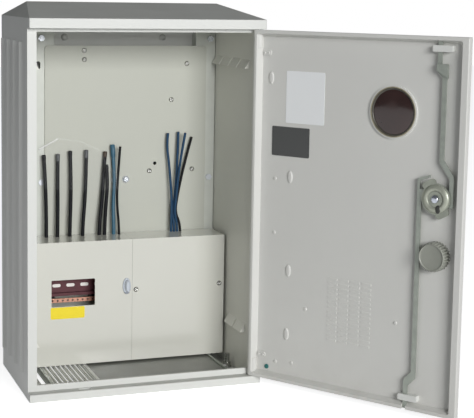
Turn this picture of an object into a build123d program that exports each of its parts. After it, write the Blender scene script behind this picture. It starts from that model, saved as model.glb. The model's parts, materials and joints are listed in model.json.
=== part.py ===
from build123d import *
from math import cos, sin, sqrt, pi, radians, tan
import os

# Electricity meter cabinet in glass-fibre polyester, standing, with its door open.
# Millimetres. X runs along the front, Y to the back, Z up.
# The origin is the middle of the underside of the plinth.

os.makedirs("parts", exist_ok=True)

# Cabinet body
width = 400.0
depth = 236.0
wall = 4.0
lip = 16.75            # plinth and fascia stand this far in front of the posts
post_width = 15.0
post_thick = 6.0
body_top = 605.5
header_drop = 6.0
top_flange = 28.0
foot_flange = 33.0
foot_front = 16.5
foot_back = 20.0
flange_thick = 4.0
plinth_top = 13.4
plinth_deep = 21.5
ledge_top = 23.5

# Flutes of the side walls
rib_count = 4
rib_end = 12.25        # from the last flute to the back
rib_first = 48.0       # first crest behind the posts
rib_rise = 4.0
rib_low = 36.0
rib_drop = 23.5        # flutes end this far below the top of the body
rib_front = 0.40       # share of the pitch over which a flute rises
rib_back = 3.0

# Roof
fascia = 15.5
ridge_rise = 24.5
ridge_set_in = 30.0
ridge_back = 67.0      # ridge to the back edge
roof_wall = 4.0

# Fixings
base_bolt = 9.0
base_bolt_in = 29.0    # from the side walls' faces
base_bolt_y = 130.0
wall_bolt = 9.0
wall_bolt_x = 180.0
wall_bolt_low = 22.0
wall_bolt_drop = 22.5  # below the top of the body
roof_screw = 5.0
roof_screw_in = 24.0   # from the side walls' faces
roof_screw_front = 99.0
roof_screw_back = 20.0
touch = 0.3            # running or seating clearance between loose pieces

# Inside of the cabinet
liner_thick = 3.0
louvre_drop = 15.0
louvre_rise = 9.0
louvre_skin = 1.4
louvre_length = 38.0
louvre_pitch = 43.5
louvre_first = -61.0
louvre_drop_high = 52.5  # top louvres below the top of the body
louvre_low = 96.0
rail_width = 37.0
rail_thick = 2.5
rail_low = 20.0
rail_drop = 11.5       # below the top of the body
rail_bolt = 8.0
rail_bolt_low = 50.0
rail_bolt_middle = 330.0
rail_bolt_drop = 12.0  # upper bolts below the rails' ends
rail_bolt_in = 14.0    # left bolts from the left rail's outer edge
rail_bolt_out = 10.0   # right bolts from the right rail's outer edge
rail_bolt_head = 0.72  # corner radius of its head, as a share of its diameter
rail_slot = 14.0
rail_slot_wide = 7.0
rail_slot_in = 9.0
rail_slot_drop = 59.0
left_rail_in = 50.0    # left rail from the side wall's face
right_rail_in = 16.0
board_left_in = 70.0   # board from the side walls' faces
board_right_in = 34.0
board_low = 30.0
board_drop = 36.5      # below the top of the body
board_thick = 3.0
board_stand = 24.0     # front of the board before the back wall
screw = 4.5
screw_head = 9.0
screw_end = 6.0        # reach of the board's screws behind it
head_height = 3.0
nut_head = 13.0
nut_height = 5.0
# from the board's left or right edge, and below its top edge or above the floor
high_left_screws = ((69.6, 8.3), (70.0, 24.0))
high_right_screws = ((37.0, 31.7), (65.5, 96.4))
low_right_screws = ((105.6, 344.8), (24.8, 346.0))
low_left_nuts = ((126.2, 329.7), (146.6, 330.8))
board_hole = 6.4
board_hole_in = 95.4   # from the board's right edge
board_hole_z = 358.2

# Floor
frame_side_gap = 7.0   # between the frame and the flange at the side
frame_back_gap = 10.0  # between the frame and the back wall
frame_band = 10.0
frame_top = 12.0
frame_rail = 4.0
frame_rail_top = 17.0
slatted_width = 86.0   # from the frame's left side to the joint of the panels
floor_thick = 2.5
slat_count = 9
slat_pitch = 8.6
slat_width = 3.2
slat_margin = 4.6      # panel beyond the ends of its slats
panel_gap = 0.5
slat_rise = 2.5

# Earthing stud
stud = 8.0
stud_height = 24.0
stud_washer = 1.6
stud_in = 24.5         # from the side wall's face
stud_y = -20.0

# Inner covers
cover_front = 20.0
cover_low = 18.0
cover_high = 235.0
cover_thick = 2.0
cover_left_gap = 5.0   # between the covers and the posts
cover_left_width = 190.0
cover_right_gap = 4.0
cover_back_gap = 2.0   # between the covers and the board
cover_lip = 12.0
window_in = 84.5       # from the left end of the covers
window_z = 145.5
window_width = 77.0
window_height = 47.0
label_thick = 0.4
knob_in = 10.0         # from the joint of the covers
knob_z = 152.0
cover_screw_in = 7.0
cover_screw_z = 145.0
end_screw_in = 9.0     # from the right end of the covers
end_screw_z = 147.0
pillar = 11.0
pillar_bore = 12.0
cover_screw_reach = 11.0
knob_stem = 6.0
knob_width = 13.0
knob_height = 29.0
knob_thick = 8.0
knob_base = 2.0
knob_lift = 0.1
wire_hole = 2.4
rail_centre = 151.5
din_height = 35.0
din_depth = 7.5
din_sheet = 1.2
din_length = 140.0
din_in = 69.5          # rail beyond the middle of the window
din_stand = 40.0       # its lips before the board
din_slot = 15.0
din_slot_pitch = 25.0
din_slot_wide = 6.2
din_slot_in = 3.5      # middle slot beside the middle of the window
din_fold = 4.0
rail_foot_left = 22.0  # beside the middle of the window
rail_foot_right = 50.5
rail_foot_width = 12.0
rail_foot_height = 18.0
busbar_in = 38.5       # beyond the middle of the window
busbar_length = 92.0
busbar_low = 121.0
busbar_height = 7.0
busbar_thick = 4.0
busbar_stand = 34.0    # before the board
busbar_hole = 3.6
busbar_hole_pitch = 9.0
busbar_hole_count = 9
insulator_width = 8.0
insulator_left = 26.5  # beside the middle of the window
insulator_right = 47.5
block_top = 216.0
block_high = 24.0
block_stand = 26.0     # before the board
left_block_start = -140.0
left_block_end = 8.0
right_block_start = 90.0
right_block_end = 124.0
block_slope_deep = 5.0
block_slope_high = 8.0
block_screw = 3.8
block_screw_deep = 10.0
cable = 6.6
thin_cable = 4.6
cable_stand = 15.0     # before the board
cable_straight = 248.0
film_thick = 0.6
film_low = 316.0
film_height = 95.0
film_run = ((-146.0, 74.0), (-130.0, 72.5), (-108.0, 71.5), (-80.0, 71.5),
            (-50.0, 69.5), (-24.0, 67.9), (-2.0, 66.5))
film_outline = ((-145.0, 322.0), (-145.0, 391.0), (-112.0, 410.0), (-73.0, 405.0), (-37.0, 388.0),
                (-24.0, 362.0), (-4.0, 343.0), (-4.0, 316.0), (-60.0, 316.0))
film_ahead = 60.0
film_behind = 80.0

# Door
door_side_gap = 3.0    # closed door inside the outline of the body
door_gap = 0.8         # above the door
washer = 1.2           # under the door
door_thick = 16.25
skin = 3.25
rim = 9.5              # width of the rim along the hinge edge
free_rim = 11.0
end_rim = 5.5
rim_taper = 20.0
free_round_out = 8.0   # rounds of its free edge
free_round_in = 1.5
hinge_round_out = 5.0
hinge_round_in = 7.0     # lets the inner corner pass the post as the door turns
hinge_in = 8.0         # pivot behind the hinge-side edge
hinge_deep = 7.0       # pivot behind the outer skin
open_angle = 124.2
hinge_pin = 6.0
pin_play = 0.05
hinge_boss = 14.0
boss_height = 30.0
pin_reach = 28.5
pin_root = 10.0
hinge_plate_width = 16.0
hinge_plate_height = 9.0
hinge_plate_thick = 2.0
hinge_plate_u = 23.0
hinge_plate_z = 52.0
rivet_head = 4.0
rivet_rise = 1.4

# Door furniture
glass_in = 130.7       # from the free edge
glass_drop = 120.7     # below the top of the door
glass = 77.0
glass_thick = 3.0
glass_ring = 3.5
glass_ledge = 3.0
paper_u = 99.0
paper_drop = 108.7
paper_width = 74.0
paper_height = 86.0
plate_u = 72.5
plate_drop = 183.2
plate_width = 73.0
plate_height = 49.0
plate_thick = 0.8
relief_u = 192.5
relief_z = 151.0
relief_columns = 4
relief_rows = 14
relief_pitch_u = 21.0
relief_pitch_z = 7.9
relief_width = 17.0
relief_height = 3.6
relief_rise = 0.9
plug_u = 34.3
plug_z = 32.3
plug_head = 8.0
plug_hole = 5.0
plug_rise = 2.0

# Lock
lock_in = 47.5         # from the free edge
spindle_z = 356.0
barrel_z = 265.5
spindle = 5.6
spindle_out = 14.0
cam = 49.0
cam_floor = 12.0       # cam above the outer skin
cam_thick = 2.5
cam_lobe = 25.0
cam_lobe_angle = 118.0
cam_lobe_width = 12.0
cam_lobe_length = 24.0
cam_hub = 1.5          # rise of the hub under the bolt
cam_pin = 4.0
cam_pin_radius = 8.5
pin_clear = 0.6
bolt_head = 13.0
bolt_height = 4.5
bolt_shank = 3.0
bolt_reach = 9.0
rod_floor = 8.0
rod_thick = 3.0
rod_width = 7.0
rod_play = 0.3
head_width = 18.0
head_drop = 41.7       # head of the upper rod below the top of the door
head_height_upper = 20.5
head_slope = 9.0       # height of the sloped end of the head
head_plate = 3.0       # thickness of the plate on the head
head_plate_slope = 11.0
side_bend_rise = 60.0  # the step starts this far above the spindle
side_bend = 24.0       # height over which the upper rod steps sideways
low_bend = 57.0
low_bend_skew = 5.0
low_bend_rise = 14.0
bend_skew = 4.0
fork_round = 5.0       # the fork's slot starts this far behind the pin
fork_half = 6.5
fork_reach = 4.6       # fork tips stop this far from the spindle's axis
upper_tongue_out = -3.0  # beside the spindle, towards the free edge
upper_strip_out = 6.0
upper_side_out = 24.0
upper_tip_drop = 0.7   # tips inside the door's upper and lower edges
lower_tongue_in = 43.0  # beside the spindle, towards the hinge
strip_clear = 3.1      # lower rod beside the ribbed cap
claw_rise = 29.0       # bend of the lower rod's claw above the spindle
claw_lift = 7.0
claw_reach = 21.0
claw_width = 4.0
lower_tip_rise = 0.6
guide_width = 33.0
guide_height = 10.0
guide_thick = 10.25
guide_shift = 5.0      # guide's middle beside the rod's
upper_guide_drop = 18.2
lower_guide_rise = 18.4
strike_wide = 20.0
strike_deep = 8.0
strike_depth = 11.0
plate_out = 3.0
escutcheon_width = 44.0
escutcheon_over = 30.0  # beyond the spindle and the barrel
bearing = 13.8
bearing_rise = 1.5
bearing_play = 0.1
barrel = 21.8
barrel_head = 27.0
barrel_head_thick = 1.5
barrel_end = 18.0
barrel_wall = 3.0
key_plug = 12.0
key_slot = 1.4
key_slot_deep = 10.0
cap = 46.8
cap_high = 20.0
cap_roof = 3.0
cap_ribs = 28
cap_rib = 2.6
cap_rib_deep = 2.4
lever_hub = 28.0
lever_arm = 94.0
lever_width = 16.0
lever_thick = 8.0
lever_lift = 2.0       # lever above the escutcheon
lever_eye = 32.0
lever_hole = 24.0
lever_round = 2.0
lever_neck = 3.0       # the hub under the lever is smaller by this

# Values that follow from the sizes above
half = width / 2
front = -depth / 2
back = depth / 2
eaves = body_top + fascia
ridge = eaves + ridge_rise
roof_along = ((front, body_top), (front, eaves), (back - ridge_back, ridge),
              (back, eaves), (back, body_top))
roof_across = ((-half, body_top), (-half, eaves), (-half + ridge_set_in, ridge),
               (half - ridge_set_in, ridge), (half, eaves), (half, body_top))
post_face = front + lip
post_back = post_face + post_thick
opening = half - post_width
inner_back = back - wall
base_bolt_x = width - 2 * base_bolt_in
rib_pitch = (depth - lip - rib_first - rib_back - rib_end) / (rib_count - 1)
wall_bolt_high = body_top - wall_bolt_drop
rib_high = body_top - rib_drop
roof_screw_x = half - roof_screw_in
roof_screw_y = (front + roof_screw_front, back - roof_screw_back)
louvre_high = body_top - louvre_drop_high
rail_high = body_top - rail_drop
left_rail_start = -half + left_rail_in
right_rail_start = half - right_rail_in - rail_width
rail_bolt_levels = (rail_bolt_low, rail_bolt_middle, rail_high - rail_bolt_drop)
rail_bolt_x = (left_rail_start + rail_bolt_in, right_rail_start + rail_width - rail_bolt_out)
rail_slot_z = rail_high - rail_slot_drop
board_front = inner_back - board_stand
board_back = board_front + board_thick
board_left = -half + board_left_in
board_right = half - board_right_in
board_high = body_top - board_drop
board_hole_place = (board_right - board_hole_in, board_hole_z)
screw_places = tuple((board_left + x, board_high - z) for x, z in high_left_screws)
screw_places += tuple((board_right - x, board_high - z) for x, z in high_right_screws)
screw_places += tuple((board_right - x, z) for x, z in low_right_screws)
nut_places = tuple((board_left + x, z) for x, z in low_left_nuts)
frame_half = half - wall - foot_flange - frame_side_gap
frame_front = front + plinth_deep + touch
frame_back = inner_back - frame_back_gap
floor_joint = -frame_half + slatted_width
panel_depth = frame_back - frame_front - 2 * panel_gap
panel_middle = (frame_front + frame_back) / 2
slat_length = panel_depth - 2 * slat_margin
stud_place = (half - stud_in, stud_y)
cover_left_end = -opening + cover_left_gap
cover_right_end = opening - cover_right_gap
cover_joint = cover_left_end + cover_left_width
cover_back = board_front - cover_back_gap
window_x = cover_left_end + window_in
knob_place = (cover_joint - knob_in, knob_z)
cover_screw_places = ((cover_joint + cover_screw_in, cover_screw_z),
                      (cover_right_end - end_screw_in, end_screw_z))
din_left = window_x - din_in
din_right = din_left + din_length
din_lip = board_front - din_stand
din_slot_middle = window_x + din_slot_in
rail_foot_x = (window_x - rail_foot_left, window_x + rail_foot_right)
busbar_left = window_x - busbar_in
busbar_right = busbar_left + busbar_length
busbar_front = board_front - busbar_stand
insulator_x = (window_x - insulator_left, window_x + insulator_right)
block_front = board_front - block_stand
cable_row = board_front - cable_stand
cover_height = cover_high - cover_low
door_low = plinth_top + washer
door_high = body_top - door_gap
door_height = door_high - door_low
door_width = width - 2 * door_side_gap
lock_u = door_width - lock_in
glass_u = door_width - glass_in
glass_z = door_high - glass_drop
paper_z = door_high - paper_drop
plate_z = door_high - plate_drop
upper_tongue_u = lock_u + upper_tongue_out
upper_strip_u = lock_u + upper_strip_out
upper_side_u = lock_u + upper_side_out
upper_tip = door_high - upper_tip_drop
lower_tongue_u = lock_u - lower_tongue_in
lower_strip_u = lock_u - cap / 2 - strip_clear - rod_width / 2
lower_tip = door_low + lower_tip_rise
low_lean = low_bend_skew if lower_strip_u > lower_tongue_u else -low_bend_skew
claw_start = lower_strip_u - rod_width / 2
claw_bend = spindle_z + claw_rise
head_high = door_high - head_drop
head_low = head_high - head_height_upper
side_bend_high = spindle_z + side_bend_rise
upper_guide_z = door_high - upper_guide_drop
lower_guide_z = door_low + lower_guide_rise
escutcheon_low = barrel_z - escutcheon_over
escutcheon_high = spindle_z + escutcheon_over
hinge_x = door_width / 2 - hinge_in
hinge_y = front + hinge_deep

# The open door: u runs from its hinge edge to its free edge, v from its outer skin inwards
turn = radians(open_angle)
door_u = Vector(-cos(turn), -sin(turn), 0)
door_v = Vector(-sin(turn), cos(turn), 0)
door_corner = Vector(hinge_x, hinge_y, 0) - door_u * hinge_in - door_v * hinge_deep
outer_skin = Plane(origin=door_corner, x_dir=door_u, z_dir=door_v)
inner_skin = outer_skin.offset(skin)
rim_plane = outer_skin.offset(door_thick)
inward = Axis(origin=(0, 0, 0), direction=door_v)


def closed_x(u):
    """Place along the front where a point of the door lies when the door is shut."""
    return door_width / 2 - u


def save(part, name):
    """Label one finished piece and write it."""
    part.label = name
    export_step(part, "parts/" + name + ".step")


# Cabinet body: fluted walls, posts, header, plinth and foot in one moulding
with BuildPart() as cabinet_body:
    with BuildSketch(Plane.XY):
        with Locations((0, (post_face + back) / 2)):
            Rectangle(width, back - post_face)
        with Locations((0, (post_back + inner_back) / 2)):
            Rectangle(width - 2 * wall, inner_back - post_back, mode=Mode.SUBTRACT)
        with Locations((0, post_face + post_thick / 2)):
            Rectangle(2 * opening, post_thick, mode=Mode.SUBTRACT)
    extrude(amount=body_top)
    # header above the opening
    with BuildSketch(Plane.XY.offset(body_top - header_drop)):
        with Locations((0, post_face + post_thick / 2)):
            Rectangle(2 * opening, post_thick)
    extrude(amount=header_drop)
    # flange under the roof
    with BuildSketch(Plane.XY.offset(body_top - flange_thick)):
        with Locations((0, (post_face + back) / 2)):
            Rectangle(width, back - post_face)
        with Locations((0, (post_back + inner_back - top_flange) / 2)):
            Rectangle(width - 2 * (wall + top_flange), inner_back - top_flange - post_back,
                      mode=Mode.SUBTRACT)
        with Locations((0, post_face)):
            Rectangle(2 * opening, 2 * post_thick, mode=Mode.SUBTRACT)
    extrude(amount=flange_thick)
    # foot flange
    with BuildSketch(Plane.XY):
        with Locations((0, (front + back) / 2)):
            Rectangle(width, depth)
        with Locations((0, (front + plinth_deep + foot_front + inner_back - foot_back) / 2)):
            Rectangle(2 * (half - wall - foot_flange),
                      inner_back - foot_back - front - plinth_deep - foot_front, mode=Mode.SUBTRACT)
    extrude(amount=flange_thick)
    # plinth bar with the ledge that closes the opening from below
    with BuildSketch(Plane.YZ.offset(-half)):
        with Locations((front + plinth_deep / 2, plinth_top / 2)):
            Rectangle(plinth_deep, plinth_top)
    extrude(amount=width)
    fillet(cabinet_body.edges().filter_by(Axis.X).group_by(Axis.Y)[0].sort_by(Axis.Z)[-1], radius=1.5)
    with BuildSketch(Plane.YZ.offset(-opening)):
        with Locations(((post_face + front + plinth_deep) / 2, (plinth_top + ledge_top) / 2)):
            Rectangle(front + plinth_deep - post_face, ledge_top - plinth_top)
    extrude(amount=2 * opening)
    # concave flutes rising to sharp crests, on both side walls
    with BuildSketch(Plane.XY.offset(rib_low)):
        for index in range(rib_count):
            crest = post_face + rib_first + index * rib_pitch
            start = crest - rib_front * rib_pitch
            with BuildLine():
                foot = (-half, start)
                top = (-half - rib_rise, crest - 1.2)
                ThreePointArc(foot, (-half - 0.22 * rib_rise, start + 0.6 * (crest - start)), top)
                Polyline(top, (-half - rib_rise, crest), (-half, crest + rib_back),
                         (-half + 1.0, crest + rib_back), (-half + 1.0, start), foot)
            make_face()
        mirror(about=Plane.YZ)
    extrude(amount=rib_high - rib_low)
    # holes for the base bolts, the wall bolts and the roof screws
    with BuildSketch(Plane.XY):
        with GridLocations(base_bolt_x, base_bolt_y, 2, 2):
            Circle(base_bolt / 2)
    extrude(amount=flange_thick, mode=Mode.SUBTRACT)
    with BuildSketch(Plane.XZ.offset(-back)):
        with Locations((0, (wall_bolt_low + wall_bolt_high) / 2)):
            with GridLocations(wall_bolt_x, wall_bolt_high - wall_bolt_low, 2, 2):
                Circle(wall_bolt / 2)
    extrude(amount=wall, mode=Mode.SUBTRACT)
    with BuildSketch(Plane.XZ.offset(-back)):
        for x in rail_bolt_x:
            for level in rail_bolt_levels:
                with Locations((x, level)):
                    Circle(rail_bolt / 2 + touch)
    extrude(amount=wall, mode=Mode.SUBTRACT)
    with BuildSketch(Plane.XY.offset(body_top - flange_thick)):
        for y in roof_screw_y:
            with Locations((-roof_screw_x, y), (roof_screw_x, y)):
                Circle(roof_screw / 2)
    extrude(amount=flange_thick, mode=Mode.SUBTRACT)
    # strike slot for the lower rod and seat of the lower hinge pin
    with BuildSketch(Plane.XY.offset(plinth_top - strike_depth)):
        with Locations((closed_x(lower_tongue_u), front + rod_floor + rod_thick / 2)):
            Rectangle(strike_wide, strike_deep)
    extrude(amount=strike_depth, mode=Mode.SUBTRACT)
    with BuildSketch(Plane.XY.offset(plinth_top - pin_root)):
        with Locations((hinge_x, hinge_y)):
            Circle(hinge_pin / 2)
    extrude(amount=pin_root, mode=Mode.SUBTRACT)
save(cabinet_body.part, "cabinet_body")

# Roof cap: hipped, hollow, with a turned-in flange that sits on the body
with BuildPart() as roof_hollow:
    with BuildSketch(Plane.YZ.offset(-half)):
        with BuildLine():
            Polyline(*roof_along, close=True)
        make_face()
        offset(amount=-roof_wall, kind=Kind.INTERSECTION, mode=Mode.REPLACE)
    extrude(amount=width)
    with BuildSketch(Plane.XZ.offset(-back)):
        with BuildLine():
            Polyline(*roof_across, close=True)
        make_face()
        offset(amount=-roof_wall, kind=Kind.INTERSECTION, mode=Mode.REPLACE)
    extrude(amount=depth, mode=Mode.INTERSECT)

with BuildPart() as roof_cap:
    with BuildSketch(Plane.YZ.offset(-half)):
        with BuildLine():
            Polyline(*roof_along, close=True)
        make_face()
    extrude(amount=width)
    with BuildSketch(Plane.XZ.offset(-back)):
        with BuildLine():
            Polyline(*roof_across, close=True)
        make_face()
    extrude(amount=depth, mode=Mode.INTERSECT)
    fillet(roof_cap.edges().filter_by(Axis.Z).group_by(Axis.Y)[0], radius=2.0)
    add(roof_hollow.part, mode=Mode.SUBTRACT)
    with BuildSketch(Plane.XY.offset(body_top)):
        with Locations((0, (post_back + inner_back - top_flange) / 2)):
            Rectangle(width - 2 * (wall + top_flange), inner_back - top_flange - post_back)
    extrude(amount=roof_wall, mode=Mode.SUBTRACT)
    # bosses for the roof screws and for the upper hinge pin
    with BuildSketch(Plane.XY.offset(body_top)):
        for y in roof_screw_y:
            with Locations((-roof_screw_x, y), (roof_screw_x, y)):
                Circle(roof_screw + 1.5)
        with Locations((hinge_x, hinge_y)):
            Circle(hinge_pin)
    extrude(amount=fascia - 1.5)
    with BuildSketch(Plane.XY.offset(body_top)):
        for y in roof_screw_y:
            with Locations((-roof_screw_x, y), (roof_screw_x, y)):
                Circle(roof_screw / 2)
        with Locations((hinge_x, hinge_y)):
            Circle(hinge_pin / 2)
    extrude(amount=pin_root, mode=Mode.SUBTRACT)
    # strike slot for the upper rod
    with BuildSketch(Plane.XY.offset(body_top)):
        with Locations((closed_x(upper_tongue_u), front + rod_floor + rod_thick / 2)):
            Rectangle(strike_wide, strike_deep)
    extrude(amount=roof_wall, mode=Mode.SUBTRACT)
save(roof_cap.part, "roof_cap")

# Roof screws, driven up from inside
with BuildPart() as roof_screws:
    with BuildSketch(Plane.XY.offset(body_top - flange_thick)):
        for y in roof_screw_y:
            with Locations((-roof_screw_x, y), (roof_screw_x, y)):
                Circle(roof_screw / 2)
    extrude(amount=flange_thick + pin_root - 1.0)
    with BuildSketch(Plane.XY.offset(body_top - flange_thick)):
        for y in roof_screw_y:
            with Locations((-roof_screw_x, y), (roof_screw_x, y)):
                RegularPolygon(roof_screw, 6)
    extrude(amount=-roof_screw * 0.8)
save(roof_screws.part, "roof_screws")

# Side liners with hooded louvres
for side, name in ((-1, "side_liner_left"), (1, "side_liner_right")):
    with BuildPart() as liner:
        with BuildSketch(Plane.XY.offset(flange_thick)):
            with Locations((side * (opening + liner_thick / 2), (post_back + inner_back) / 2)):
                Rectangle(liner_thick, inner_back - post_back)
        extrude(amount=body_top - 2 * flange_thick)
        for top, count in ((louvre_high, 4), (louvre_low, 2)):
            for index in range(count):
                middle = louvre_first + index * louvre_pitch
                with BuildSketch(Plane.XZ.offset(-middle)):
                    with BuildLine():
                        Polyline((side * opening, top),
                                 (side * (opening - louvre_rise), top - louvre_drop),
                                 (side * (opening + 1.0), top - louvre_drop),
                                 (side * (opening + 1.0), top), close=True)
                    make_face()
                extrude(amount=louvre_length / 2, both=True)
                # the hood is hollow and open below, with the air slot behind it
                with BuildSketch(Plane.XZ.offset(-middle)):
                    with BuildLine():
                        Polyline((side * opening, top - 2 * louvre_skin),
                                 (side * (opening - louvre_rise + 1.5 * louvre_skin), top - louvre_drop),
                                 (side * (opening + liner_thick), top - louvre_drop),
                                 (side * (opening + liner_thick), top - 2 * louvre_skin), close=True)
                    make_face()
                extrude(amount=louvre_length / 2 - louvre_skin, both=True, mode=Mode.SUBTRACT)
    save(liner.part, name)

# Mounting rails: upright channels on the back wall
for start, name in ((left_rail_start, "mounting_rail_left"), (right_rail_start, "mounting_rail_right")):
    with BuildPart() as rail:
        with BuildSketch(Plane.XY.offset(rail_low)):
            with Locations((start + rail_width / 2, (board_back + inner_back) / 2)):
                Rectangle(rail_width, inner_back - board_back)
            with Locations((start + rail_width / 2, (board_back + rail_thick + inner_back) / 2)):
                Rectangle(rail_width - 2 * rail_thick, inner_back - board_back - rail_thick,
                          mode=Mode.SUBTRACT)
        extrude(amount=rail_high - rail_low)
        with BuildSketch(Plane.XZ.offset(-board_back)):
            for level in rail_bolt_levels:
                for x in rail_bolt_x:
                    with Locations((x, level)):
                        Circle(rail_bolt / 2 + touch)
            with Locations((start + rail_slot_in, rail_slot_z)):
                SlotOverall(rail_slot, rail_slot_wide, rotation=90)
        extrude(amount=-rail_thick, mode=Mode.SUBTRACT)
    save(rail.part, name)

# Bolts that hold the rails to the back wall
with BuildPart() as rail_bolts:
    with BuildSketch(Plane.XZ.offset(-board_back)):
        for x in rail_bolt_x:
            for level in rail_bolt_levels:
                with Locations((x, level)):
                    Circle(rail_bolt / 2)
    extrude(amount=board_back - back)
    with BuildSketch(Plane.XZ.offset(-board_back)):
        for x in rail_bolt_x:
            for level in rail_bolt_levels:
                with Locations((x, level)):
                    RegularPolygon(rail_bolt * rail_bolt_head, 6)
    extrude(amount=rail_bolt * 0.5)
save(rail_bolts.part, "rail_bolts")

# Mounting board for the meters
with BuildPart() as mounting_board:
    with BuildSketch(Plane.XZ.offset(-board_back)):
        with Locations(((board_left + board_right) / 2, (board_low + board_high) / 2)):
            RectangleRounded(board_right - board_left, board_high - board_low, 5.0)
        for x, z in screw_places + nut_places:
            with Locations((x, z)):
                Circle(screw / 2, mode=Mode.SUBTRACT)
        with Locations(board_hole_place):
            Circle(board_hole / 2, mode=Mode.SUBTRACT)
        # clearance round the rail bolts beside the board's edges
        for x in rail_bolt_x:
            for level in rail_bolt_levels:
                with Locations((x, level)):
                    Circle(rail_bolt * rail_bolt_head + 1.5, mode=Mode.SUBTRACT)
    extrude(amount=board_thick)
save(mounting_board.part, "mounting_board")

# Screws and nuts left on the board
with BuildPart() as board_screws:
    for places, head, high in ((screw_places, screw_head, head_height), (nut_places, nut_head, nut_height)):
        with BuildSketch(Plane.XZ.offset(-board_front)):
            for x, z in places:
                with Locations((x, z)):
                    Circle(head / 2)
        extrude(amount=high)
        chamfer(board_screws.faces().filter_by(Axis.Y).group_by(Axis.Y)[0].edges(), length=0.9)
    with BuildSketch(Plane.XZ.offset(-board_front)):
        for x, z in screw_places + nut_places:
            with Locations((x, z)):
                Circle(screw / 2)
    extrude(amount=-board_thick - screw_end)
save(board_screws.part, "board_screws")

# Floor frame: welded strip with raised side bars
with BuildPart() as floor_frame:
    with BuildSketch(Plane.XY.offset(flange_thick)):
        with Locations((0, (frame_front + frame_back) / 2)):
            Rectangle(2 * frame_half, frame_back - frame_front)
        for low_x, high_x in ((-frame_half + frame_band, floor_joint - frame_band / 2),
                              (floor_joint + frame_band / 2, frame_half - frame_band)):
            with Locations(((low_x + high_x) / 2, (frame_front + frame_back) / 2)):
                Rectangle(high_x - low_x, frame_back - frame_front - 2 * frame_band, mode=Mode.SUBTRACT)
    extrude(amount=frame_top - flange_thick)
    with BuildSketch(Plane.XY.offset(frame_top)):
        for x in (-frame_half + frame_rail / 2, frame_half - frame_rail / 2):
            with Locations((x, (frame_front + frame_back) / 2)):
                Rectangle(frame_rail, frame_back - frame_front)
    extrude(amount=frame_rail_top - frame_top)
save(floor_frame.part, "floor_frame")

with BuildPart() as slatted_floor_panel:
    left_edge = -frame_half + frame_rail + touch
    right_edge = floor_joint - touch / 2
    middle = (left_edge + right_edge) / 2
    with BuildSketch(Plane.XY.offset(frame_top)):
        with Locations((middle, panel_middle)):
            Rectangle(right_edge - left_edge, panel_depth)
            with GridLocations(slat_pitch, 1, slat_count - 1, 1):
                SlotOverall(slat_length, slat_width, rotation=90, mode=Mode.SUBTRACT)
    extrude(amount=floor_thick)
    with BuildSketch(Plane.XY.offset(frame_top + floor_thick)):
        with Locations((middle, panel_middle)):
            with GridLocations(slat_pitch, 1, slat_count, 1):
                Rectangle(slat_width, slat_length)
    extrude(amount=slat_rise, taper=12)
save(slatted_floor_panel.part, "slatted_floor_panel")

with BuildPart() as plain_floor_panel:
    left_edge = floor_joint + touch / 2
    right_edge = frame_half - frame_rail - touch
    with BuildSketch(Plane.XY.offset(frame_top)):
        with Locations(((left_edge + right_edge) / 2, panel_middle)):
            RectangleRounded(right_edge - left_edge, panel_depth, 3.0)
    extrude(amount=floor_thick)
save(plain_floor_panel.part, "plain_floor_panel")

# Cable routes: x of the foot in its terminal, then the points above the straight part
thick_routes = {
    "cable_1": (-131, (-131, 77, 292), (-132, 79, 336), (-134, 82, 379)),
    "cable_2": (-111, (-110, 77, 291), (-110, 79, 335), (-109, 82, 380)),
    "cable_3": (-89, (-87, 77, 290), (-86, 79, 334), (-87, 82, 385)),
    "cable_4": (-66, (-62, 77, 289), (-59, 79, 339), (-58, 82, 386)),
    "cable_5": (-36, (-31, 78, 288), (-27, 81, 336), (-23, 84, 382)),
    "cable_6": (-26, (-24, 74, 288), (-21, 73, 330), (-24, 72, 360)),
    "cable_7": (-9, (-10, 78, 287), (-6, 81, 335), (-10, 84, 394)),
}
thin_routes = {
    "cable_8": (1, (-4, 74, 290), (-3, 73, 336), (1, 72, 392)),
    "cable_9": (98, (96, 76, 305), (92, 79, 360), (89, 81, 391), (93, 82, 413)),
    "cable_10": (104, (108, 77, 305), (110, 79, 360), (112, 82, 415)),
    "cable_11": (110, (112, 74, 305), (115, 72, 360), (122, 72, 414)),
    "cable_12": (116, (118, 79, 300), (125, 82, 355), (138, 84, 405)),
}
cables = {}
for size, routes in ((cable, thick_routes), (thin_cable, thin_routes)):
    for name, (x, *rest) in routes.items():
        cables[name] = (size, ((x, cable_row, block_top), (x, cable_row, cable_straight), *rest))


def route_radii(points):
    """Arc radius at each corner: as large as the two straight runs beside it allow."""
    radii = []
    for before, here, after in zip(points, points[1:], points[2:]):
        run_in = Vector(*here) - Vector(*before)
        run_out = Vector(*after) - Vector(*here)
        bend = radians(run_in.get_angle(run_out))
        radii.append(0.45 * min(run_in.length, run_out.length) / tan(bend / 2))
    return radii


for name, (size, points) in cables.items():
    radii = route_radii(points)
    with BuildPart() as tube:
        with BuildLine() as route:
            FilletPolyline(*points, radius=radii)
        with BuildSketch(Plane.XY.offset(points[0][2])):
            with Locations(points[0][0:2]):
                Circle(size / 2)
        sweep(path=route.wires()[0])
    ideal = route.wires()[0].length * pi * size**2 / 4
    share = round(tube.part.volume / ideal, 4)
    print(name, "radii", [round(value) for value in radii], "volume share", share)
    save(tube.part, name)

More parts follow.
